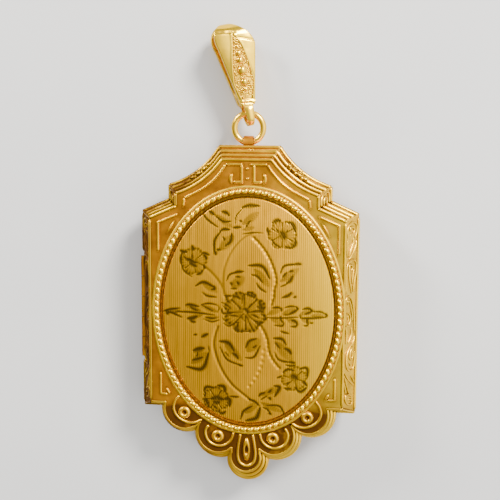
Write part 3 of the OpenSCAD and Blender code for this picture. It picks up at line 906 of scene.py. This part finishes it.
def engraving(x, y):
    """How deep each point lies in the dark cuts, in the shaded parts with the painted shadow lines beside
    the vines, and in the vines' grooves.
    """
    cut = np.zeros(x.shape)
    for table, widening in STROKES:
        for row in table:
            line, width = stroke(row)
            cut = np.maximum(cut, near_line(x, y, line, width * widening))
    shade, deep = fans(x, y)
    chatter = 0.85 + 0.15 * np.cos(2 * math.pi * (x + 0.6 * y) / 0.36)
    cut = np.maximum(cut, deep) * chatter
    shade = np.maximum(shade, bodies(x, y))
    groove = np.zeros(x.shape)
    for points, width, depth, dark in VINES:
        line = curve(points, 0.2)
        # A painted shadow line beside each vine, on its upper right side.
        shade = np.maximum(shade, near_line(x, y, line + VINE_SHADOW_OFF, VINE_SHADOW_W) * dark)
        groove = np.maximum(groove, near_line(x, y, line + VINE_GROOVE_OFF, width) * depth)
    for points, gap, size in PITS:
        line = curve(points, 0.2)
        length = along_line(line)
        for s in np.arange(0.2, length[-1], gap):
            pit = np.array([np.interp(s, length, line[:, 0]), np.interp(s, length, line[:, 1])])
            groove = np.maximum(groove, near_line(x, y, [pit, pit + 0.03], size))
    return cut, shade, groove


def panel():
    """The engraved dome: a grid of points over the oval, and a skirt down into the frame."""
    rows, columns = PANEL_GRID
    gx, gy = oval_grid(columns, rows)
    x, y = OVAL_X + gx * PANEL_A, OVAL_Y + gy * PANEL_B
    r = np.sqrt(gx ** 2 + gy ** 2)
    cut, shade, groove = engraving(x, y)
    z = panel_height(r) - CUT_DEPTH * cut ** 1.5 - SHADE_DEPTH * shade - VINE_DEPTH * groove
    top = np.stack([x, y, z], -1).reshape(-1, 3)
    index = np.arange(rows * columns).reshape(rows, columns)
    faces = np.stack([index[:-1, :-1], index[:-1, 1:], index[1:, 1:], index[1:, :-1]], -1)
    build = Build()
    # The radius goes in as wear; the panel's material paints shade in the rim's groove from it.
    build.add(top, faces.reshape(-1, 4), np.clip(r, 0, 1))
    loop = np.concatenate([index[0], index[1:, -1], index[-1, -2::-1], index[-2:0:-1, 0]]).tolist()
    skirt = top[loop].copy()
    skirt[:, 2] = PANEL_FOOT_Z
    n = len(loop)
    build.add(skirt, [], np.ones(n))
    first = len(top)
    build.faces.extend((loop[i], first + i, first + (i + 1) % n, loop[(i + 1) % n]) for i in range(n))
    build.faces.append(tuple(first + i for i in range(n)))
    piece = build.object("engraved_panel", "front_cover", panel_material())
    for name, value in (("cut", cut), ("shade", shade)):
        values = np.zeros(build.count, np.float32)
        values[:len(top)] = value.ravel()
        piece.data.attributes.new(name, "FLOAT", "POINT").data.foreach_set("value", values)
    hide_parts("front_panel")


# What darkens the panel. Rows: the attribute, its colour, and where it starts and is full.
PANEL_DARKS = [
    ("shade", (0.26, 0.13, 0.006), 0.0, 1.0),
    ("cut", (0.11, 0.06, 0.005), 0.02, 0.75),
    # Painted shade in the groove along the panel's rim.
    ("wear", (0.30, 0.15, 0.006), GROOVE - 0.004, GROOVE + 0.012),
]
# The colour of the painted light on the panel's right side.
PANEL_RIGHT_LIGHT_TINT = (0.76, 0.46, 0.002)


def panel_material():
    """Satin yellow gold with fine upright lines, darker in the cuts and, with painted shade, in the groove
    along the rim, and with painted light on the right.
    """
    material, tree, shader = new_material("engraved_gold")
    place = node(tree, "TexCoord").outputs["Object"]
    at = node(tree, "SeparateXYZ", Vector=place).outputs
    lines = node(tree, "TexWave", Vector=place, Scale=1080.0, Distortion=0.4, Detail=1.0,
                 Detail_Scale=0.35)
    lines.wave_type = "BANDS"
    lines.bands_direction = "X"
    lines.wave_profile = "SIN"
    drawn_out = node(tree, "Mapping", Vector=place, Scale=(1.0, 0.05, 1.0)).outputs["Vector"]
    streak = noise(tree, drawn_out, 1900.0, 3.0)
    mottle = noise(tree, place, 160.0, 4.0)
    tone = ramp(tree, mottle, [(0.3, (0.84, 0.40, 0.003)), (0.7, (1.0, 0.49, 0.005))])
    ruled = mix(tree, "FLOAT", 0.45, lines.outputs["Fac"], streak)
    stripes = ramp(tree, ruled, [(0.2, (0.48, 0.46, 0.36)), (0.62, (1, 1, 1))])
    # The upright lines are deeper towards the bottom.
    depth = between(tree, at["Y"], -8.0 * MM, 14.0 * MM, 1.0, 0.7)
    colour = mix(tree, "RGBA", depth, tone, stripes, blend="MULTIPLY")
    # Painted light: the panel's right side is tinted brighter and yellower.
    colour = tint(tree, between(tree, at["X"], 5.0 * MM, 12.0 * MM, 0.0, 0.8), PANEL_RIGHT_LIGHT_TINT, colour)
    for name, dark, low, high in PANEL_DARKS:
        colour = tint(tree, between(tree, attribute(tree, name), low, high), dark, colour)
    roughness = between(tree, streak, 0.0, 1.0, 0.34, 0.48)
    metal(tree, shader, colour, roughness, 0.35, 0.04 * MM, ruled)
    return material


# The rim: a smooth outer line, a low base, and on it a ring of beads that lean like a rope

# Rows: how far outside the beads' oval, width, height, z of the foot, and wear with painted shade.
RIM_LINES = [
    (0.46, 0.58, 0.28, FACE_Z, 0.26),
    (-0.08, 0.68, 0.26, FACE_Z + 0.02, 0.3),
]
BEAD_OUT, BEAD_LIFT, BEAD_LEAN = -0.10, 0.28, 0.40
BEAD_RADII = (0.56, 0.34, 0.38)


def oval_point(s, out=0.0):
    """A place on the beads' oval, out millimetres outside it, and the direction outwards."""
    normal = unit(np.stack([OVAL_B * np.cos(s), OVAL_A * np.sin(s)], -1))
    centre = np.array([OVAL_X, OVAL_Y])
    return centre + np.stack([OVAL_A * np.cos(s), OVAL_B * np.sin(s)], -1) + normal * out, normal


def even_angles(n):
    """n angles whose places lie evenly spaced along the oval."""
    s = np.linspace(0, 2 * math.pi, 4001)
    length = along_line(oval_point(s)[0])
    return np.interp(np.arange(n) * length[-1] / n, length, s)


def rim():
    """The rim over the joint between frame and panel."""
    build = Build()
    s = even_angles(440)
    for out, width, height, foot, wear in RIM_LINES:
        xy, _ = oval_point(s, out)
        strip(build, on_face(xy, foot), UP, width, height, closed=True, wear=wear)
    for a in even_angles(BEAD_COUNT):
        (x, y), (nx, ny) = oval_point(a, BEAD_OUT)
        turn = math.atan2(ny, nx) + math.pi / 2 + BEAD_LEAN
        ball(build, (x, y, FACE_Z + BEAD_LIFT), BEAD_RADII, turn)
    piece = build.object("bead_rim", "front_cover", RIM)
    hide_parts("beaded_rim")


# Raised lines of the frame's face: rows of x and y on the right half

BORDER = [(13.0, 8.4), (13.0, 12.6), (10.1, 13.85)]
SPIKE = [(10.6, 12.9), (11.65, 11.1)]
CORNER = [(12.75, -9.5), (12.75, -12.75), (11.7, -12.85)]
CORNER_HOOK = [(11.9, -11.9), (11.4, -12.8)]
KEY = [(0.88, 21.05), (0.88, 18.57), (2.1, 18.57)]
KEY_HOOK = [(2.3, 18.35), (2.48, 19.0), (2.25, 19.75)]
OUTER_U = [(9.95, -12.95), (10.55, -13.7), (10.85, -14.75), (10.6, -15.7), (9.95, -16.45),
           (9.1, -16.9), (8.3, -17.05), (7.4, -16.9), (6.6, -16.45)]
INNER_U = [(5.6, -17.25), (6.05, -18.0), (6.05, -18.75), (5.7, -19.6), (5.0, -20.15),
           (4.0, -20.37), (3.05, -20.1), (2.35, -19.45), (2.05, -18.7), (1.95, -18.2)]
MIDDLE_U = [(0.9, -18.4), (1.15, -19.8), (1.3, -21.3), (1.15, -22.4), (0.7, -23.0), (0, -23.25)]
HOLLOW_LINE = [(3.0, 21.05), (3.45, 20.3), (4.25, 19.3), (5.2, 18.35), (6.3, 17.55), (7.6, 16.85),
               (8.95, 16.15)]
TOP_LINE = [(0.5, 21.05), (3.0, 21.05)]
SHOULDER_LINE = [(8.95, 16.2), (9.1, 14.9)]
MARKS = [(0.1, 20.45), (0.15, 19.05)]
EYELETS = [(9.05, -15.5), (4.06, -18.88)]
LINE_W, MIDDLE_U_W, LINE_H = 0.47, 0.49, 0.30
# The lines that stand on both halves of the face. Rows: the line, its width and its ends.
PAIRED_LINES = [
    (bent(BORDER), LINE_W, "round"),
    (bent(CORNER), LINE_W, "round"),
    (curve(CORNER_HOOK), LINE_W, "round"),
    (bent(KEY), 0.54, "round"),
    (curve(KEY_HOOK), 0.62, "round"),
    (curve(OUTER_U), LINE_W, "round"),
    (curve(INNER_U), LINE_W, "round"),
    (curve(SPIKE), 0.42, "point"),
]


def face_lines():
    """The frame's raised lines, the keys and the two marks at the top."""
    build = Build()
    for path, width, ends in PAIRED_LINES:
        for side in (-1, 1):
            line = on_face(path * [side, 1] + [RELIEF_X, 0])
            strip(build, line, UP, width, LINE_H, ends=ends)
    for path in (curve(HOLLOW_LINE), bent(TOP_LINE), bent(SHOULDER_LINE)):
        both_sides(build, on_face(path), UP, LINE_W, LINE_H)
    middle = MIDDLE_U + [(-x, y) for x, y in MIDDLE_U[-2::-1]]
    strip(build, on_face(curve(middle) + [RELIEF_X, 0]), UP, MIDDLE_U_W, LINE_H)
    for x, y in MARKS:
        ball(build, (x, y, FACE_Z + 0.02), (0.30, 0.20, 0.2), 0.3)
    build.object("face_lines", "front_cover", ROSE)


BOSS = [(0.20, 0.02), (0.28, 0.12), (0.38, 0.34), (0.52, 0.44), (0.70, 0.42), (0.86, 0.28),
        (0.97, 0.06), (0.98, -0.1)]
# Wear and painted shade along the boss's profile: patina and painted shade in its hole and at its foot,
# polish on its dome.
BOSS_WEAR_AND_SHADE = [0.0, 0.0, 0.5, 1.0, 1.0, 0.9, 0.2, 0.0]
LONG_BOSS, LONG_BOSS_SCALE = (0.22, -20.75), (0.60, 1.85)


def bosses():
    """A round boss with a dark hole on each of the four side lobes, and a long one on the middle lobe."""
    build = Build()
    for x, y in EYELETS:
        for side in (-1, 1):
            lathe(build, BOSS, BOSS_WEAR_AND_SHADE, (side * x, y, FACE_Z))
    lathe(build, BOSS, BOSS_WEAR_AND_SHADE, (*LONG_BOSS, FACE_Z), LONG_BOSS_SCALE)
    build.object("eyelet_bosses", "front_cover", ROSE)


# Mouldings of the walls. Rows: level u, width and height in millimetres, and wear with painted shade.

UPPER = [
    (0.04, 0.52, 0.28, 1.0),
    (0.31, 0.56, 0.36, 1.0),
    (0.62, 0.72, 0.36, 0.9),
    (0.95, 0.52, 0.28, 1.0),
]
OUTERMOST = [UPPER[0], UPPER[-1]]
LOBES = [(0.05, 0.44, 0.28, 1.0), (0.42, 0.60, 0.38, 1.0), (0.84, 0.72, 0.36, 1.0)]
SIDES = [(0.03, 0.48, 0.26, 1.0), (0.95, 0.48, 0.24, 1.0)]
# The upright edges after these stretches carry a thin line.
EDGES = ["top", "hollow", "step", "side"]
EDGE_W, EDGE_H, EDGE_SINK = 0.34, 0.24, 0.05
# The back cover's mouldings stay clear of the table it lies on.
BACK_LEAST_U = 0.10
# The part of the left side, in y, that the hinge takes up.
HINGE_LOW, HINGE_HIGH = -8.5, 7.5


def across(build, rows, names, back, over_top=False, over_bottom=False):
    """Mouldings along stretches of the wall, on both halves or over the middle of top or bottom."""
    for u, width, height, wear in rows:
        path, normals = wall_path(names, max(u, BACK_LEAST_U) if back else u, back=back)
        if over_top:
            path, normals = (np.vstack([mirrored(part[:0:-1]), part]) for part in (path, normals))
        if over_bottom:
            path, normals = (np.vstack([part, mirrored(part[-2::-1])]) for part in (path, normals))
        if over_top or over_bottom:
            strip(build, path, normals, width, height, ends="flat", wear=wear)
        else:
            both_sides(build, path, normals, width, height, ends="flat", wear=wear)


def side_mouldings(build, back):
    """The lines along the straight sides. Those at the parting line leave out the hinge."""
    for u, width, height, wear in SIDES:
        level = max(u, BACK_LEAST_U) if back else u
        path, normals = wall_path(["side"], level, 0.005, 0.995, back=back)
        strip(build, path, normals, width, height, wear=wear)
        y = path[:, 1]
        at_hinge = u > 0.9
        parts = [y > HINGE_HIGH, y < HINGE_LOW] if at_hinge else [slice(None)]
        for part in parts:
            strip(build, mirrored(path[part]), mirrored(normals[part]), width, height, wear=wear)


def edge_lines(build, back):
    """A thin line down each upright edge, where one stretch of the wall meets the next."""
    for name, following in zip(ORDER, ORDER[1:]):
        if name in EDGES:
            u = np.linspace(BACK_LEAST_U if back else 0.02, 0.98, 20)
            normals = unit(wall_normal(name, 1.0, u, back) + wall_normal(following, 0.0, u, back))
            path = wall(name, 1.0, u, back) - normals * EDGE_SINK
            both_sides(build, path, normals, EDGE_W, EDGE_H)


def mouldings(back=False):
    """The stepped mouldings round the front half's walls, or round the back half's."""
    build = Build()
    across(build, UPPER, ["top", "hollow"], back, over_top=True)
    across(build, UPPER, ["step"], back)
    across(build, OUTERMOST, ["shoulder"], back)
    across(build, OUTERMOST, ["corner"], back)
    across(build, LOBES, ["lobe0"], back)
    across(build, LOBES, ["lobe1"], back)
    across(build, LOBES[:2], ["neck", "lobe2"], back, over_bottom=True)
    across(build, LOBES[2:], ["lobe2"], back, over_bottom=True)
    side_mouldings(build, back)
    edge_lines(build, back)
    name, body = ("back_mouldings", "case") if back else ("wall_mouldings", "front_cover")
    build.object(name, body, ROSE)


# The side walls' scrolls: rows of y along the wall and x across it, from 14.0 at the face's edge
# to 15.5 at the parting line.
SCROLLS = [
    [(10.9, 14.28), (12.1, 14.24), (12.8, 14.50), (12.9, 14.90), (12.3, 15.22), (11.3, 15.22),
     (10.5, 15.05)],
    [(11.2, 14.50), (11.3, 14.85), (11.8, 14.98), (12.25, 14.80), (12.2, 14.55), (11.85, 14.58),
     (11.8, 14.74)],
    [(10.7, 14.30), (9.4, 14.26), (8.0, 14.30)],
    [(10.7, 14.86), (9.9, 14.86), (9.0, 14.62), (8.0, 14.46)],
    [(10.2, 15.26), (9.2, 15.12), (8.3, 14.78), (7.7, 14.48)],
    [(2.6, 14.24), (5.0, 14.22), (6.8, 14.28), (7.5, 14.66), (7.35, 15.08), (6.6, 15.26), (5.4, 15.22),
     (4.0, 15.04), (2.8, 14.98)],
    [(5.9, 14.72), (6.3, 14.86), (6.7, 14.80), (6.9, 14.62), (6.6, 14.50), (5.6, 14.50), (4.4, 14.60),
     (3.2, 14.76), (2.6, 14.80)],
    [(6.2, 15.02), (5.2, 14.90), (4.0, 14.84)],
    [(0.9, 14.24), (1.8, 14.22), (2.3, 14.44), (2.0, 14.74), (1.0, 14.96), (-0.4, 15.12), (-1.8, 15.18),
     (-3.2, 15.24)],
    [(1.0, 14.44), (1.6, 14.42), (1.5, 14.60), (0.8, 14.76), (-0.4, 14.92), (-1.6, 14.98)],
    [(-0.1, 14.42), (-0.5, 14.68), (-1.2, 14.74), (-1.9, 14.60), (-2.1, 14.38), (-1.5, 14.20),
     (-0.6, 14.22), (-0.15, 14.40)],
    [(-0.6, 14.44), (-1.1, 14.52), (-1.6, 14.42)],
    [(-2.2, 14.26), (-3.0, 14.34), (-3.9, 14.36), (-4.8, 14.28)],
    [(-2.3, 14.86), (-3.2, 14.88), (-4.0, 14.74), (-4.7, 14.54)],
    [(-3.5, 15.26), (-4.5, 15.08), (-5.3, 14.76), (-6.3, 14.48), (-7.4, 14.38), (-8.4, 14.48),
     (-8.75, 14.80), (-8.4, 15.12), (-7.2, 15.26), (-5.8, 15.28)],
    [(-5.1, 15.06), (-6.0, 14.80), (-6.8, 14.74), (-7.1, 14.90), (-6.7, 15.06), (-5.8, 15.10)],
    [(-7.5, 14.72), (-7.9, 14.84), (-8.0, 14.98)],
    [(-9.1, 14.22), (-9.8, 14.48), (-10.4, 14.90), (-10.9, 15.26)],
    [(-9.4, 14.90), (-10.0, 15.14), (-10.5, 15.30)],
    [(-9.7, 14.24), (-11.0, 14.44), (-12.0, 14.68), (-12.6, 14.90)],
    [(-10.8, 14.22), (-11.8, 14.32), (-12.5, 14.42)],
    [(-12.6, 15.10), (-12.3, 14.76), (-12.6, 14.42), (-13.3, 14.36), (-13.8, 14.62), (-13.75, 14.98),
     (-13.3, 15.10), (-13.0, 14.92), (-13.15, 14.72)],
]
SCROLL_TOP_X, SCROLL_SPAN = 14.0, 1.5
SIDE_TOP_Y, SIDE_LENGTH = 13.5, 28.25
SLANT = math.hypot(SIDE_LEAN, FACE_Z - FRONT_BOTTOM)
# Width and height of the scrolls, of the arches and of the curls.
SCROLL_SIZE, ARCH_SIZE, CURL_SIZE = (0.33, 0.20), (0.42, 0.26), (0.36, 0.26)
# Arches on the shoulders' side walls: rows of t along the wall and u down it.
ARCHES = [
    [(0.98, 0.22), (0.45, 0.22), (0.16, 0.34), (0.10, 0.52), (0.16, 0.70), (0.45, 0.80), (0.98, 0.80)],
    [(0.98, 0.42), (0.60, 0.42), (0.42, 0.52), (0.60, 0.62), (0.98, 0.62)],
]
# Small scrolls in the two hollows: t, u and radius.
CURLS = [(0.38, 0.62, 0.46), (0.50, 0.64, 0.62), (0.62, 0.62, 0.42), (0.29, 0.62, 0.28)]
CURL_TURNS = 1.3
HOLLOW_LENGTH, HOLLOW_HEIGHT = 9.5, 4.0
# The drops on the top wall: their places t, the level u and the radii.
DROPS, DROPS_U, DROP_RADII = (0.02, 0.14), 0.62, (0.38, 0.22, 0.20)
# The curls and the drops stand on the third of the upper mouldings.
MOULDING_LIFT = 0.30


def scrolls():
    """The front half's scrolled ornament: on its sides, its shoulders, its hollows and its top."""
    build = Build()
    for row in SCROLLS:
        flat = curve([(y, (x - SCROLL_TOP_X) / SCROLL_SPAN * SLANT) for y, x in row], 0.2)
        t = (SIDE_TOP_Y - flat[:, 0]) / SIDE_LENGTH
        u = flat[:, 1] / SLANT
        both_sides(build, wall("side", t, u), wall_normal("side", t, u), *SCROLL_SIZE, ends="point")
    for row in ARCHES:
        t, u = curve(row, 0.06).T
        both_sides(build, wall("shoulder", t, u), wall_normal("shoulder", t, u), *ARCH_SIZE)
    for t0, u0, r in CURLS:
        a = np.linspace(0, 2 * math.pi * CURL_TURNS, 32)
        out = np.linspace(0.15, 1, 32) * r
        t = t0 + out * np.cos(a) / HOLLOW_LENGTH
        u = u0 + out * np.sin(a) / HOLLOW_HEIGHT
        normals = wall_normal("hollow", t, u)
        both_sides(build, wall("hollow", t, u) + normals * MOULDING_LIFT, normals, *CURL_SIZE)
    for t in DROPS:
        normal = wall_normal("top", t, DROPS_U)
        ball(build, wall("top", t, DROPS_U) + normal * MOULDING_LIFT, DROP_RADII, up=normal)
    build.object("wall_scrolls", "front_cover", ROSE)


# The bail, in its own frame: v along it from its tip, w across it, z up from its middle

def bail_matrix():
    turn = (Matrix.Rotation(math.radians(90 + BAIL_LEAN), 4, "Z")
            @ Matrix.Rotation(math.radians(BAIL_DROP), 4, "Y")
            @ Matrix.Rotation(math.radians(BAIL_ROLL), 4, "X"))
    return (Matrix.Translation((BAIL_X, BAIL_Y, RING_Z)) @ turn
            @ Matrix.Translation((-BAIL_HANG, 0, 0)))


BAIL = np.array(bail_matrix())
FOLD_V = BAIL_L + BAIL_HALF - FOLD_R
STRAP, EYE_STRAP = 0.55, 0.47
FIELD_LOW, FIELD_HIGH = 3.7, 13.3
TIP_R = 0.5
# The folded end stands to the left: how far, from which v on, and over what length.
SKEW, SKEW_FROM, SKEW_LENGTH = 0.9, 11.2, 3.7
# Its left half is narrower: by what share, from which v on, and over what length.
NARROWER, NARROWER_FROM, NARROWER_LENGTH = 0.25, 11.5, 3.0
# Half the height of the closed web between eye and fold, and where the open fold starts.
WEB, SLOT_V, SLOT_R = 0.03, 5.0, 0.35
STRAP_COLUMNS = 41


def bail_place(v, w, z):
    """Where a point of the bail's own frame lies in the locket's."""
    left = SKEW * rise(v, SKEW_FROM, SKEW_LENGTH) ** 1.5
    local = np.stack(np.broadcast_arrays(v, w + left, z, 1.0), -1)
    return (local @ BAIL.T)[..., :3]


def bail_half(v):
    """Half the bail's width at v: a narrow tongue below the collar, then a widening drop."""
    sine = (BAIL_HALF - TIP_R) / (BAIL_L - TIP_R)
    flank = (TIP_R + (v - TIP_R) * sine) / math.sqrt(1 - sine * sine)
    cap = np.sqrt(np.clip(BAIL_HALF ** 2 - (v - BAIL_L) ** 2, 0.0004, None))
    drop = np.where(v > BAIL_L - BAIL_HALF * sine, cap, flank)
    tongue = 0.34 + 0.30 * np.sqrt(rise(v, 0, 2.4))
    blend = rise(v, 2.85, 0.3)
    return tongue * (1 - blend) + drop * blend


def bail_front(v):
    """The height of the strap's plain front, rising from the eye to the fold."""
    return EYE_R + (FOLD_R - EYE_R) * (v - EYE_R) / (FOLD_V - EYE_R)


def field_half(v):
    """Half the width of the grained field, blunt at the collar and pointed towards the fold."""
    s = rise(v, FIELD_LOW, FIELD_HIGH - FIELD_LOW)
    return 0.02 + 1.50 * (1 - s ** 2.2) ** 0.9 * (0.50 + 0.50 * rise(s, 0, 0.25))


def ridge(distance, width):
    """1 where the distance is 0, fading out over the width."""
    return np.exp(-(distance / width) ** 2)


def bail_relief(v, w):
    """The front's relief over its plain surface, and its wear with painted shade."""
    off = np.abs(w) / np.maximum(bail_half(v), 1e-6)
    pillow = (1 - off ** 2.6) * rise(v, 3.3, 0.6) * rise(v, 14.2, -1.2)
    inner = field_half(v)
    along = (v > FIELD_LOW) & (v < FIELD_HIGH)
    field = rise(np.abs(w), inner, -0.16) * along
    border = ridge(np.abs(w) - inner - 0.05, 0.14) * along
    crease = (ridge(v - 12.75 - 0.35 * w, 0.13) * rise(w, 0.1, -0.4)
              + ridge(v - 13.35 - 0.2 * w, 0.12) * rise(w, -0.6, 0.4))
    collar = 0.16 * ridge(v - 3.45 - 0.12 * w, 0.16) + 0.12 * ridge(v - 3.0 - 0.12 * w, 0.13)
    tongue = (1 - off ** 2) * rise(v, 2.8, -0.5)
    lift = 0.24 * pillow - 0.20 * field + 0.06 * border - 0.12 * crease + collar + 0.16 * tongue
    # Patina and painted shade in the grained field and in the creases.
    wear = 1 - 0.75 * field - 0.8 * crease
    return lift, np.clip(wear, 0, 1)


def half_turn(v, r, strap, first, n):
    """Rows of the strap's side view round v, clockwise from the angle first."""
    rows = []
    for a in np.linspace(first, first - math.pi, n, endpoint=False):
        c, s = math.cos(a), math.sin(a)
        rows.append((v + r * c, r * s, v + (r - strap) * c, (r - strap) * s, c, s))
    return rows


def bail_path():
    """Outer and inner points along the strap's side view, with outward directions."""
    front_v = np.linspace(EYE_R, FOLD_V, 120, endpoint=False)
    rows = [(v, bail_front(v), v, slot_half(v), 0.0, 1.0) for v in front_v]
    rows += half_turn(FOLD_V, FOLD_R, STRAP, math.pi / 2, 26)
    rows += [(v, -bail_front(v), v, -slot_half(v), 0.0, -1.0) for v in front_v[::-3]]
    rows += half_turn(EYE_R, EYE_R, EYE_STRAP, -math.pi / 2, 22)[1:]
    return np.split(np.array(rows), 3, axis=1)


def slot_half(v):
    """Half the height of the gap inside the strap: the eye, a closed web, then the open fold."""
    eye_end, eye = EYE_R + 0.9, EYE_R - EYE_STRAP
    if v < eye_end:
        return eye
    if v < eye_end + eye:
        return max(math.sqrt(eye ** 2 - (v - eye_end) ** 2), WEB)
    if v < SLOT_V - SLOT_R:
        return WEB
    if v < SLOT_V:
        return max(SLOT_R * math.sqrt(1 - ((SLOT_V - v) / SLOT_R) ** 2), WEB)
    return SLOT_R + (FOLD_R - STRAP - SLOT_R) * (v - SLOT_V) / (FOLD_V - SLOT_V)


def bail_strap(build):
    """The folded strap, with the relief on its front."""
    outer, inner, out = bail_path()
    columns = STRAP_COLUMNS
    s = np.linspace(-1, 1, columns)[None, :]
    v, z = outer[:, :1], outer[:, 1:]
    w = bail_half(v) * s * (1 - NARROWER * rise(v, NARROWER_FROM, NARROWER_LENGTH) * (s < 0))
    front = np.clip(out[:, 1:], 0, 1)
    lift, wear = bail_relief(v, w)
    lift = lift * front
    top = bail_place(v + lift * out[:, :1], w, z + lift * out[:, 1:]).reshape(-1, 3)
    wear = np.where(front > 0, wear, 0.9)
    low = bail_place(inner[:, :1], w, inner[:, 1:]).reshape(-1, 3)
    rows = len(outer)
    n = rows * columns
    faces = []
    for i in range(rows):
        a, b = i * columns, (i + 1) % rows * columns
        for j in range(columns - 1):
            faces.append((a + j, a + j + 1, b + j + 1, b + j))
            faces.append((n + a + j, n + b + j, n + b + j + 1, n + a + j + 1))
        faces.append((a, b, n + b, n + a))
        faces.append((a + columns - 1, n + a + columns - 1, n + b + columns - 1, b + columns - 1))
    build.add(np.vstack([top, low]), faces, np.concatenate([wear.ravel(), np.full(n, 0.35)]))


# The larger beads along the middle of the field, rows of v and radius, and the knobs beside the
# collar, rows of v, w and radius.
BAIL_BEADS = [(11.3, 0.30), (10.35, 0.44), (9.35, 0.50), (7.9, 0.66), (6.25, 0.52), (5.2, 0.34)]
COLLAR_KNOBS = [(3.1, 0.78, 0.30), (3.2, -0.80, 0.26)]
GRAINS, GRAIN_SEED = 290, 7


def bail_beads(build):
    """The beads of the field, the grains round them, and the knobs beside the collar."""
    up = BAIL[:3, 2]
    for v, r in BAIL_BEADS:
        ball(build, bail_place(v, 0.0, bail_front(v) + 0.14), (r * 1.1, r, r), up=up, rings=9, around=16)
    rng = np.random.default_rng(GRAIN_SEED)
    for _ in range(GRAINS):
        v = rng.uniform(4.0, 12.8)
        w = rng.uniform(-1, 1) * (field_half(v) - 0.1)
        r = rng.uniform(0.09, 0.16)
        ball(build, bail_place(v, w, bail_front(v) + 0.10), (r, r, r), rings=4, around=7, up=up)
    for v, w, r in COLLAR_KNOBS:
        ball(build, bail_place(v, w, bail_front(v) - 0.05), (r * 1.3, r, r), up=up)


def bail():
    """The folded bail, hanging on the jump ring."""
    build = Build()
    bail_strap(build)
    bail_beads(build)
    piece = build.object("folded_bail", "case", PALE)
    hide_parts("bail")


panel()
rim()
face_lines()
bosses()
mouldings()
mouldings(back=True)
scrolls()
bail()

# The looks of the CAD's own nodes.
for name, material in (("back_cover", ROSE_CAD), ("front_frame", ROSE_CAD), ("hinge_pin", ROSE_CAD),
                       ("jump_ring", PALE_CAD), ("bail", PALE_CAD), ("front_panel", PALE_CAD),
                       ("beaded_rim", ROSE_CAD)):
    mesh = frame["nodes"][name].data
    mesh.materials.clear()
    mesh.materials.append(material)


# The floor, the lights and the camera, in metres

FLOOR_HALF, FLOOR_Z = 1.2, -0.00003
LIGHT_AIM = (0, 0, 0.005)
WARM = (1.0, 0.97, 0.92)
# The sky's grey, from the side away from the bright part to the bright part itself.
SKY = [(0.0, (0.10, 0.10, 0.105)), (0.3, (0.22, 0.22, 0.223)), (0.5, (0.22, 0.22, 0.22)),
       (0.70, (0.24, 0.24, 0.24)), (0.80, (0.31, 0.31, 0.31)), (0.87, (0.66, 0.66, 0.65)),
       (0.95, (1.0, 1.0, 1.0))]
SKY_BRIGHT_SIDE, SKY_STRENGTH = (0.75, 0.0, 0.65), 3.3


def stage():
    """A plain pale floor just below the part."""
    half = FLOOR_HALF
    mesh = bpy.data.meshes.new("floor")
    mesh.from_pydata([(-half, -half, 0), (half, -half, 0), (half, half, 0), (-half, half, 0)], [],
                     [(0, 1, 2, 3)])
    floor = bpy.data.objects.new("floor", mesh)
    floor.location.z = FLOOR_Z
    bpy.context.scene.collection.objects.link(floor)
    material, tree, shader = new_material("pale_floor")
    cloud = node(tree, "TexNoise", Scale=60.0).outputs["Fac"]
    tone = ramp(tree, cloud, [(0.3, (0.58, 0.58, 0.58)), (0.7, (0.62, 0.62, 0.61))])
    put(tree, shader.inputs["Base Color"], tone)
    put(tree, shader.inputs["Roughness"], 0.8)
    mesh.materials.append(material)


def area(name, place, size, power):
    """A round warm lamp that shines at the part."""
    light = bpy.data.lights.new(name, "AREA")
    light.shape = "DISK"
    light.size = size
    light.energy = power
    light.color = WARM
    lamp = bpy.data.objects.new(name, light)
    lamp.location = place
    lamp.rotation_euler = (Vector(LIGHT_AIM) - Vector(place)).to_track_quat("-Z", "Y").to_euler()
    bpy.context.scene.collection.objects.link(lamp)


def world():
    """A dark grey sky with a bright part at the upper right."""
    scene = bpy.context.scene
    scene.world = bpy.data.worlds.new("studio")
    scene.world.use_nodes = True
    tree = scene.world.node_tree
    towards = tree.nodes.new("ShaderNodeVectorMath")
    towards.operation = "DOT_PRODUCT"
    put(tree, towards.inputs[0], node(tree, "TexCoord").outputs["Generated"])
    put(tree, towards.inputs[1], Vector(SKY_BRIGHT_SIDE).normalized())
    back = tree.nodes["Background"]
    put(tree, back.inputs["Color"], ramp(tree, towards.outputs["Value"], SKY))
    put(tree, back.inputs["Strength"], SKY_STRENGTH)


# The camera fitted to the photo: its turns about x, y and z in degrees, its place in millimetres, and
# its focal length and the photo's width in pixels.
CAMERA_TURN = (8.5, -7.2, -0.32)
CAMERA_PLACE = (18.04, 29.74, 146.11)
FOCAL_PIXELS, PHOTO_PIXELS = 989.8, 500
SENSOR = 36.0


def camera():
    """The photo's camera."""
    ax, ay, az = (math.radians(v) for v in CAMERA_TURN)
    turn = Matrix.Rotation(az, 4, "Z") @ Matrix.Rotation(ax, 4, "X") @ Matrix.Rotation(ay, 4, "Y")
    data = bpy.data.cameras.new("camera")
    data.sensor_width = SENSOR
    data.lens = FOCAL_PIXELS / PHOTO_PIXELS * SENSOR
    data.clip_start = 0.01
    eye = bpy.data.objects.new("camera", data)
    eye.matrix_world = Matrix.Translation(Vector(CAMERA_PLACE) * MM) @ turn.transposed()
    bpy.context.scene.collection.objects.link(eye)
    bpy.context.scene.camera = eye


stage()
world()
area("key", (0.20, 0.25, 0.22), 0.12, 4.0)
area("fill", (-0.26, 0.22, 0.16), 0.10, 1.8)
camera()

bpy.context.view_layer.update()
